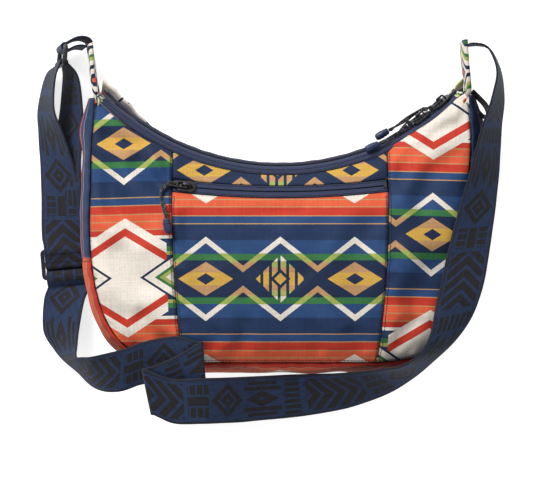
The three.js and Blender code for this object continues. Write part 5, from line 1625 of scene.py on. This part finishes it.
# %% Adjuster
ADJUSTER_CENTRE, ADJUSTER_TURN, ADJUSTER_Z = np.array([-190, -1.3, 0]), math.radians(5), 5.8
ADJUSTER_LENGTH, ADJUSTER_HEIGHT, ADJUSTER_THICK = 48.6, 27.9, 2.6
ADJUSTER_BAR, ADJUSTER_SLOT, ADJUSTER_SLOT_LENGTH = 4.5, 7.2, 41.2
ADJUSTER_ALONG = np.array([math.cos(ADJUSTER_TURN), math.sin(ADJUSTER_TURN), 0])
ADJUSTER_DOWN = np.array([math.sin(ADJUSTER_TURN), -math.cos(ADJUSTER_TURN), 0])


def adjuster_part():
    """A plate with round corners and two slots, one on each side of its middle bar"""
    half, high, corner = ADJUSTER_LENGTH / 2, ADJUSTER_HEIGHT / 2, 4.2
    outline = []
    for a, b, start in ((1, -1, -90), (1, 1, 0), (-1, 1, 90), (-1, -1, 180)):
        outline += arc_points((a * (half - corner), b * (high - corner)), corner, start, start + 90, 6)
    outline = [(x * (1 - 0.012 * (abs(y) / high) ** 2), y) for x, y in outline]
    slots = []
    for side in (-1, 1):
        near, far = side * ADJUSTER_BAR / 2, side * (ADJUSTER_BAR / 2 + ADJUSTER_SLOT)
        reach = ADJUSTER_SLOT_LENGTH / 2
        slots.append([(-reach, near), (reach, near), (reach, far), (-reach, far)])
    return cut_plate(outline, slots, -ADJUSTER_THICK / 2, ADJUSTER_THICK / 2, 0.75, 4)


turned_axes = [ADJUSTER_ALONG, -ADJUSTER_DOWN, np.array([0, 0, 1.0])]
solid_piece("adjuster", placed(adjuster_part(), turned_axes, ADJUSTER_CENTRE + (0, 0, ADJUSTER_Z)),
            dark_plastic, "bag", "strap_adjuster", sharp=40)

# %% Places along the strap
# in the adjuster, a place is millimetres down the strap from its middle, and height
# elsewhere, it is the two edges of the webbing, in the frame's own millimetres
SEWN_END = [(-2, 3.35), (-0.4, 3.35)]
SEWN_TOP = [(-2, 8.35), (-6, 9.4), (-9.4, 10.5), (-13.9, 10.7), (-17.5, 10)]
FRONT_BRANCH = [
    [[-213.1, 20.2, 7.2], [-173.4, 20.2, 11.6]], [[-213.9, 55.3, 4.5], [-176.3, 55, 18.1]],
    [[-215, 85, 2.6], [-181.9, 84.1, 25]], [[-216.8, 113.7, 2.4], [-190.8, 112.1, 32.8]],
    [[-217.2, 136.1, 3.2], [-198.6, 133.8, 38.6]], [[-208.8, 168.3, 5.6], [-196.8, 164.2, 43.5]],
]
BACK_BRANCH = [
    [[-194.4, 166.5, 6], [-178.4, 165.2, 42.6]], [[-197.4, 136.1, 3.5], [-173.8, 134, 35.7]],
    [[-201.1, 113.7, 2.4], [-174.5, 112.1, 32.3]], [[-206.6, 85, 1.7], [-176.3, 84, 27.8]],
    [[-210.2, 55.3, 1.6], [-174.8, 54.9, 20.2]], [[-212.8, 25, 1.8], [-173.5, 25, 9.1]],
]
THROUGH_ADJUSTER = [
    [-20, 3.4], [-16.4, 6.9], [-13.9, 8.5], [-11.7, 8.6], [-9.2, 8.5], [-7.2, 6.6], [-5.8, 3.9],
    [-4.5, 1.9], [-2.6, 1.4], [2.6, 1.4], [4.6, 1.75], [6.3, 3.6], [7.2, 6.2], [9.2, 8.5],
    [11.7, 8.6], [13.9, 8.5], [16.4, 6.9], [20, 3.6],
]
LOWER_LEG = [
    [[-212, -34.6, 1.5], [-174, -33.3, 13.9]], [[-211.9, -63.9, 2.5], [-178.4, -61.5, 24.2]],
    [[-202.1, -78.8, 8], [-178.4, -73.9, 39.9]], [[-192.4, -88.1, 17], [-177.6, -82.8, 53.8]],
    [[-178.5, -98.5, 28], [-170.3, -82.6, 63.8]], [[-166.4, -108.3, 42.8], [-161.8, -81.3, 72]],
    [[-153.5, -112.6, 57.6], [-148.4, -78, 77]], [[-137.1, -111.7, 67.8], [-133.6, -74, 80.5]],
    [[-121.4, -106.2, 68.5], [-120.5, -68.9, 83]], [[-103.8, -102.8, 73.5], [-103.2, -64.7, 85.5]],
    [[-86.3, -102.7, 80.9], [-86, -63.2, 87.2]], [[-75, -106, 83], [-76.1, -66.3, 87.6]],
]
FOLD_RIGHT = [[-65.9, -108.4, 85], [-68.8, -67.6, 89.5]]
BETWEEN_FOLDS = [
    [[-75.9, -116.4, 83], [-89.2, -79.8, 91.5]], [[-89.6, -122.4, 82.6], [-102.9, -85.8, 91.3]],
]
FOLD_LEFT = [[-108.4, -130.8, 84.5], [-115.8, -90.4, 93]]
FRONT_RUN = [
    [[-91.1, -137.9, 86.8], [-94.2, -98.7, 94]], [[-66.3, -138.1, 87.9], [-67.8, -98.5, 93]],
    [[-50.2, -138.3, 79.4], [-50.1, -98.7, 85]], [[-33.1, -138.6, 66.6], [-33.1, -98.9, 72]],
    [[-15.8, -138.1, 52.9], [-16.7, -98.9, 61]], [[20.2, -135.4, 42.1], [15.6, -97.8, 55]],
    [[63.2, -127.2, 42.8], [49.3, -96.3, 64]], [[102.4, -111.2, 47.9], [80.8, -92.7, 76]],
    [[134, -84.6, 67.7], [106.9, -86.3, 97]], [[159, -58.5, 69.4], [125.4, -67.9, 89]],
    [[173.3, -27.3, 73.3], [134.6, -32.2, 82]], [[183.5, 21.9, 63.5], [146.5, 19.3, 78.5]],
    [[191.8, 77.2, 48], [162.7, 76.2, 75.5]], [[195.5, 118.1, 35.7], [174.1, 116.2, 69.5]],
    [[198.3, 145.9, 29.9], [183.5, 143.2, 67]], [[195.3, 170.1, 26.8], [187.9, 166.7, 66]],
    [[185.4, 189.2, 26.5], [180.1, 186.4, 66]], [[177.4, 191.6, 26.5], [173.2, 189.4, 66]],
    [[166, 191.2, 26.6], [164.6, 189.8, 65.8]],
]
print("places on the front run:", len(FRONT_RUN))

# %% Shoulder strap
SEWN_LOOP, FOLD_RADIUS = 2.45, 2.0
LOOSE_STEP, TIGHT_STEP = 3.5, 1.2


def in_adjuster(place):
    """A station in the adjuster: millimetres down the strap from its middle, and height"""
    middle = ADJUSTER_CENTRE + ADJUSTER_DOWN * place[0]
    return station((middle[0], middle[1], place[1]), ADJUSTER_ALONG, WEBBING_WIDTH)


def fold_stations(pair, side):
    """Half a turn from under a crease to over it, bulging to one side"""
    turns = np.radians(np.linspace(-90, 90, 13))
    shift = np.stack([side * np.cos(turns), 0 * turns, np.sin(turns)], 1) * FOLD_RADIUS
    return np.array(pair, float)[None] + shift[:, None]


def loose_run(*stations):
    return smooth_run([np.array(pair, float) for pair in stations], LOOSE_STEP)


def strap_stations():
    """The whole strap, from its sewn end to the right loop"""
    sewn_centre = in_adjuster((1.4, ADJUSTER_Z)).mean(0)
    sewn = turned_stations(sewn_centre, ADJUSTER_DOWN, np.array(UP), ADJUSTER_ALONG, SEWN_LOOP, -90, 90, 10,
                           WEBBING_WIDTH)
    over = turned_stations(ring_bar(1), RING_FIRST, RING_SECOND, RING_LONG, WRAP_RADIUS, 190, -10, 16,
                           WEBBING_WIDTH)
    up = loose_run(in_adjuster(SEWN_TOP[-1]), *FRONT_BRANCH, over[0])
    down = loose_run(over[-1], *BACK_BRANCH)
    through = smooth_run([in_adjuster(p) for p in THROUGH_ADJUSTER], TIGHT_STEP)
    fold_right, fold_left = fold_stations(FOLD_RIGHT, 1), fold_stations(FOLD_LEFT, -1)
    corner = loose_run(in_adjuster(THROUGH_ADJUSTER[-1]), *LOWER_LEG, fold_right[0])
    between = loose_run(fold_right[-1], *BETWEEN_FOLDS, fold_left[0])
    front = loose_run(fold_left[-1], *FRONT_RUN)
    head = [in_adjuster(p) for p in SEWN_END] + list(sewn) + [in_adjuster(p) for p in SEWN_TOP[:-1]]
    join = loose_run(down[-1], in_adjuster(THROUGH_ADJUSTER[0]))[1:]
    runs = [np.array(head), up, over[1:-1], down, join, through[1:-1], corner, fold_right[1:-1], between,
            fold_left[1:-1], front]
    return np.concatenate(runs)


strap_grid = ribbon("strap", strap_stations(), WEBBING_THICK, webbing, "shoulder_strap", 20,
                    cup=0.35)

# %% Gathered loops and the side loop
LEFT_LOOP = [
    ((-160.6, 142.6, 43.5), (0, 0, 1), 10), ((-161.4, 149.6, 43), (0, -0.1, 1), 12),
    ((-163.2, 157.5, 40.5), (0, 0.1, 1), 16), ((-164.6, 166, 36.5), (0, 0.2, 1), 25),
    ((-166.3, 178, 31), (0.05, 0.2, 1), 34), ((-168.5, 191.4, 26.5), (0.15, 0.05, 1), 38),
]
RIGHT_LOOP = [
    ((161.5, 142.6, 43.5), (0, 0, 1), 12), ((164.6, 149.5, 45), (0, 0, 1), 22),
    ((163.9, 160, 46), (0, 0, 1), 30), ((162.2, 175.4, 46), (0, 0, 1), 37),
    ((160.9, 193.5, 46), (0, 0, 1), 38),
]
LOOP_THICK = 5.5


def gathered_loop(name, table, node, row_at, seed):
    """A flat tube of cloth, pleated where it is narrow; u runs round it and v along it"""
    run = smooth_run([station(*row) for row in table], 1.3)
    middle = run.mean(1)
    width = np.linalg.norm(run[:, 1] - run[:, 0], axis=1)
    side = (run[:, 1] - run[:, 0]) / width[:, None]
    way = np.gradient(middle, axis=0)
    out = np.cross(way, side)
    out /= np.linalg.norm(out, axis=1, keepdims=True)
    around = 72
    turns = 2 * np.pi * np.arange(around) / around
    far = run_of(middle)
    half = width[:, None] / 2
    flat_x = np.sign(np.cos(turns)) * np.abs(np.cos(turns)) ** 0.75
    flat_y = np.sign(np.sin(turns)) * np.abs(np.sin(turns)) ** 0.55
    gather = np.clip((39 - width) / 26, 0.12, 1)[:, None]
    pleats = gather * (0.95 * np.sin(flat_x * 6.5 + seed + 0.4 * np.sin(far / 7)[:, None])
                       + 0.35 * np.sin(flat_x * 13 + 2 * seed + (far / 9)[:, None]))
    x = half * flat_x
    y = LOOP_THICK / 2 * flat_y * (1 - 0.10 * gather) + pleats * np.abs(flat_y) * 0.62
    grid = middle[:, None] + side[:, None] * x[..., None] + out[:, None] * y[..., None]
    # the print is 38 mm of cloth each side, folded about the two edges
    u = np.where(np.sin(turns) >= 0, flat_x * 0.5 + 0.5, 1.5 - flat_x * 0.5)[None] * 0.038 + 0 * x
    uv = np.stack([u + row_at[0], far[:, None] * MM + 0 * x + row_at[1]], -1).reshape(-1, 2)
    part = facing_out((grid.reshape(-1, 3), tube_faces(len(middle), around)))
    solid_piece(name, part, print_cloth, "bag", node, uv, 70)


gathered_loop("left_gathered_loop", LEFT_LOOP, "left_loop", (0.03, 0.100), 0.6)
gathered_loop("right_gathered_loop", RIGHT_LOOP, "right_loop", (0.01, 0.092), 2.1)

SIDE_LOOP = [(168.3, 150.1), (174.6, 143.9), (180.7, 136.9), (182.5, 130.8), (179, 127.3), (171.9, 133.4),
             (165.6, 138.6)]
side_stations = smooth_run([station((x, y, 44), (0.14, 0.16, 1), 12) for x, y in SIDE_LOOP], 1.2)
ribbon("side_loop_tape", side_stations, WEBBING_THICK, black_tape, "side_tape_loop", 8)
print("webbing and loops made")

# %% [markdown]
# ## Stitching
# Every seam is sewn with dark thread. A stitch is a short piece of thread that rises out of the
# cloth and dips back in, and the repeat group sets it along lines that lie a few millimetres from
# the edges of the panels and tapes.

# %% Stitch rows
STITCH_PITCH = 3.0
half_thread = [(0.45, 0, 0.2), (0.95, 0, 0.02), (1.15, 0, -0.35)]
thread_arc = [(-x, y, z) for x, y, z in half_thread[::-1]] + half_thread
stitch_part = tube(np.array(thread_arc), 0.27, 6)


def sew(name, lines, unevenness, seed, pitch=STITCH_PITCH):
    repeated(name, stitch_part, lines, pitch, thread_dark, "bag", unevenness, seed)


def edge_line(grid, edge, distance, trim=0.0, lift=0.12):
    """A line on a grid at a distance from one of its edges, with the grid's outward normals"""
    normal = grid_normals(grid)
    if normal[grid.shape[0] // 2, grid.shape[1] // 2, 2] < 0:
        normal = -normal
    if edge == "right":
        grid, normal = grid[:, ::-1], normal[:, ::-1]
    if edge == "bottom":
        grid, normal = np.swapaxes(grid, 0, 1), np.swapaxes(normal, 0, 1)
    points, ups = [], []
    for row, row_normal in zip(grid, normal):
        far = run_of(row)
        points.append([np.interp(distance, far, row[:, k]) for k in range(3)])
        ups.append([np.interp(distance, far, row_normal[:, k]) for k in range(3)])
    points, ups = np.array(points), np.array(ups)
    far = run_of(points)
    inside = (far >= trim) & (far <= far[-1] - trim)
    points, ups = points[inside], ups[inside]
    return points + ups * lift, ups


seam_lines = [edge_line(grid, edge, distance, 3) for grid, edge, distance in (
    (side_surfaces[-1], "left", 2.6), (side_surfaces[1], "left", 2.6), (pocket_surface, "left", 2.2),
    (pocket_surface, "right", 2.2), (pocket_surface, "bottom", 3.4), (side_surfaces[-1], "bottom", 3.4),
    (side_surfaces[1], "bottom", 3.4))]
sew("seam_stitches", seam_lines, 0.05, 4)
tape_lines = [edge_line(tape, "right", distance, 2, TAPE / 2 + 0.1) for tape, distance in (
    (front_tape, 1.3), (front_tape, 4.6), (lower_tape, 1.2), (upper_tape, 1.2))]
sew("tape_stitches", tape_lines, 0.04, 5)
beside_join = 0.008
join_shares = (-GUSSET_JOIN + beside_join, GUSSET_JOIN + beside_join)
join_rows = [int(np.argmin(np.abs(shares[:, 0] - s))) for s in join_shares]
join_lines = [(gusset_grid[k] + gusset_out[k] * 0.1, gusset_out[k]) for k in join_rows]
sew("gusset_stitches", join_lines, 0.05, 6)
print("rows of stitches on the cloth:", len(seam_lines) + len(tape_lines) + len(join_lines))

# %% Stitches on the webbing
def strap_line(grid, row, start, end, side):
    """A line across the webbing at one row of its grid, from one share of the width to another"""
    normal = grid_normals(grid) * side
    shares_across = np.linspace(start, end, 18)
    columns = np.linspace(0, 1, grid.shape[1])

    def pick(table):
        return np.stack([np.interp(shares_across, columns, table[row, :, k]) for k in range(3)], 1)

    return pick(grid) + pick(normal) * (WEBBING_THICK / 2 + 0.1), pick(normal)


strap_far = run_of(strap_grid.mean(1))
strap_rows = [int(np.argmin(np.abs(strap_far - strap_far[-1] + back))) for back in (4, 12)]
sewn_rows = [int(np.argmin(np.abs(strap_far - far))) for far in (14, 22)]
upward = 1.0 if grid_normals(strap_grid)[strap_rows[0], 10, 1] > 0 else -1.0
sewn_up = 1.0 if grid_normals(strap_grid)[sewn_rows[0], 10, 2] > 0 else -1.0
web_lines = [strap_line(strap_grid, row, 0.06, 0.94, side)
             for rows, side in ((strap_rows, upward), (sewn_rows, sewn_up)) for row in rows]
sew("webbing_stitches", web_lines, 0.05, 7, pitch=2.4)
print("rows of stitches on the webbing:", len(web_lines))

# %% [markdown]
# ## Gathered corners
# At each end of the mouth the cloth of the loop is gathered into the corner. A small fan of
# pleats spreads from the foot of the loop over the end of the zip and the top of the panel.

# %% Corner gathers
def mouth_surface(x, y):
    """Height of the panel, or of the zip tape above the panel's edge"""
    radius = mouth_radius(x, y)
    tape = np.interp(radius, [216, 218.6, 220, 226], [46, 49.7, 53.1, 56.6])
    return np.where(radius < MOUTH_FRONT_R, tape, front_height(x, y))


def corner_gather(name, sign, foot, foot_z, start, end, reach, rise, seed):
    """A fan of pleats about the foot of a loop, between two angles, that lies on the cloth at its rim"""
    turns = np.radians(np.linspace(start, end, 61))
    out = np.linspace(0, 1, 17)
    tt, oo = np.meshgrid(turns, out, indexing="ij")
    share = (tt - tt.min()) / (tt.max() - tt.min())
    far = 1.5 + oo * (reach[0] + (reach[1] - reach[0]) * share) * (1 + 0.10 * np.sin(share * 23 + seed))
    x = sign * (foot[0] + far * np.cos(tt))
    y = foot[1] + far * np.sin(tt)
    fade = np.sin(math.pi * np.clip(0.15 + 0.85 * oo, 0, 1))
    pleat = 0.75 * fade * (np.sin(share * 26 + seed) + 0.5 * np.sin(share * 47 + 2 * seed))
    rim = 1.5 * (1 - smooth_step((1 - oo) / 0.16))
    # the panel below has swelled outwards, so its height is read where it lay before that
    moved = swelled(np.stack([x, y], -1))
    z = mouth_surface(2 * x - moved[..., 0], 2 * y - moved[..., 1]) + rise - rim + pleat
    away = smooth_step(oo / 0.5)
    z = z * away + (1 - away) * (foot_z + pleat)
    grid = np.stack([x, y, z], -1)
    uv = np.stack([share * 0.07 + 0.02 * seed, far * MM + 0.088], -1)
    return dress(sheet(name, grid, 0.9, UP, uv), print_cloth, "bag", None)


corner_gather("left_corner_gather", -1, (161.0, 148.0), 49, 186, 272, (7.5, 10), 1.3, 1.3)
corner_gather("right_corner_gather", 1, (164.5, 148.5), 50, 172, 268, (10.5, 10), 2.0, 2.2)
print("corner gathers made")

# %% [markdown]
# ## Parts kept from the frame
# The lining, the pocket's inner wall and the four small stops at the ends of the zips keep their
# CAD shapes. The first two take the lining cloth, and the stops the dark moulded finish.

# %% Finishes of the kept parts
def finished(name, material):
    """Gives a CAD node one material in place of its plain one"""
    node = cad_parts[name]
    node.data.materials.clear()
    node.data.materials.append(material)


for name in ("main_lining", "pocket_bag"):
    finished(name, lining_cloth)
for name in ("main_zip_stop_left", "main_zip_stop_right", "pocket_zip_stop_left", "pocket_zip_stop_right"):
    finished(name, dark_plastic)
print("kept parts finished")

# %% [markdown]
# ## Floor and light
# A white floor and large soft lights give the plain look of a catalogue photograph. The floor
# shows white to the camera and still takes the bag's soft shadow.

# %% Floor
def floor_white(name, shade_level, glow_level):
    """A matt floor that takes the shadow, with a glow that only the camera, gloss and glass see"""
    material = bpy.data.materials.new(name)
    material.use_nodes = True
    nodes, links = material.node_tree.nodes, material.node_tree.links
    nodes.clear()
    out = nodes.new("ShaderNodeOutputMaterial")
    matt = nodes.new("ShaderNodeBsdfDiffuse")
    matt.inputs["Color"].default_value = (shade_level, shade_level, shade_level, 1)
    glow = nodes.new("ShaderNodeEmission")
    links.new(seen_share(nodes, links, glow_level), glow.inputs["Strength"])
    both = nodes.new("ShaderNodeAddShader")
    links.new(matt.outputs[0], both.inputs[0])
    links.new(glow.outputs[0], both.inputs[1])
    links.new(both.outputs[0], out.inputs[0])
    return material


def seen_share(nodes, links, level):
    """level for what the camera, gloss and glass see, and 0 for all other light"""
    path = nodes.new("ShaderNodeLightPath")
    seen = path.outputs["Is Camera Ray"]
    for ray in ("Is Glossy Ray", "Is Transmission Ray"):
        most = nodes.new("ShaderNodeMath")
        most.operation = "MAXIMUM"
        links.new(seen, most.inputs[0])
        links.new(path.outputs[ray], most.inputs[1])
        seen = most.outputs[0]
    scaled = nodes.new("ShaderNodeMath")
    scaled.operation = "MULTIPLY"
    links.new(seen, scaled.inputs[0])
    scaled.inputs[1].default_value = level
    return scaled.outputs[0]


FLOOR_SIZE, FLOOR_DROP = 12, 0.0006
FLOOR_SHADE, FLOOR_GLOW = 0.72, 0.74
bpy.ops.mesh.primitive_plane_add(size=FLOOR_SIZE, location=(0, 0, -FLOOR_DROP))
floor = bpy.context.object
floor.name = "floor"
floor.data.materials.append(floor_white("white floor", FLOOR_SHADE, FLOOR_GLOW))
print("floor", FLOOR_SIZE, "m wide")

# %% Light
ROOM_LIGHT = 0.25
world = bpy.data.worlds.new("soft room")
world.use_nodes = True
world.node_tree.nodes["Background"].inputs["Color"].default_value = (1, 1, 1, 1)
world.node_tree.nodes["Background"].inputs["Strength"].default_value = ROOM_LIGHT
bpy.context.scene.world = world


def soft_light(name, place, size, power):
    """A square lamp that faces the bag: places and sizes in metres, power in watts"""
    data = bpy.data.lights.new(name, "AREA")
    data.energy = power
    data.size = size
    lamp = linked(name, data)
    lamp.location = place
    lamp.rotation_euler = (Vector((0, 0, STRAP_HEIGHT)) - Vector(place)).to_track_quat("-Z", "Y").to_euler()


soft_light("high light", (-0.85, 1.25, 1.05), 0.7, 33)
soft_light("side light", (1.2, 0.7, 1.2), 1.2, 6)
soft_light("low light", (-0.3, -1.2, 1.3), 1.4, 7)
scene = bpy.context.scene
scene.view_settings.view_transform = "Standard"
print("lamps:", len(bpy.data.lights))
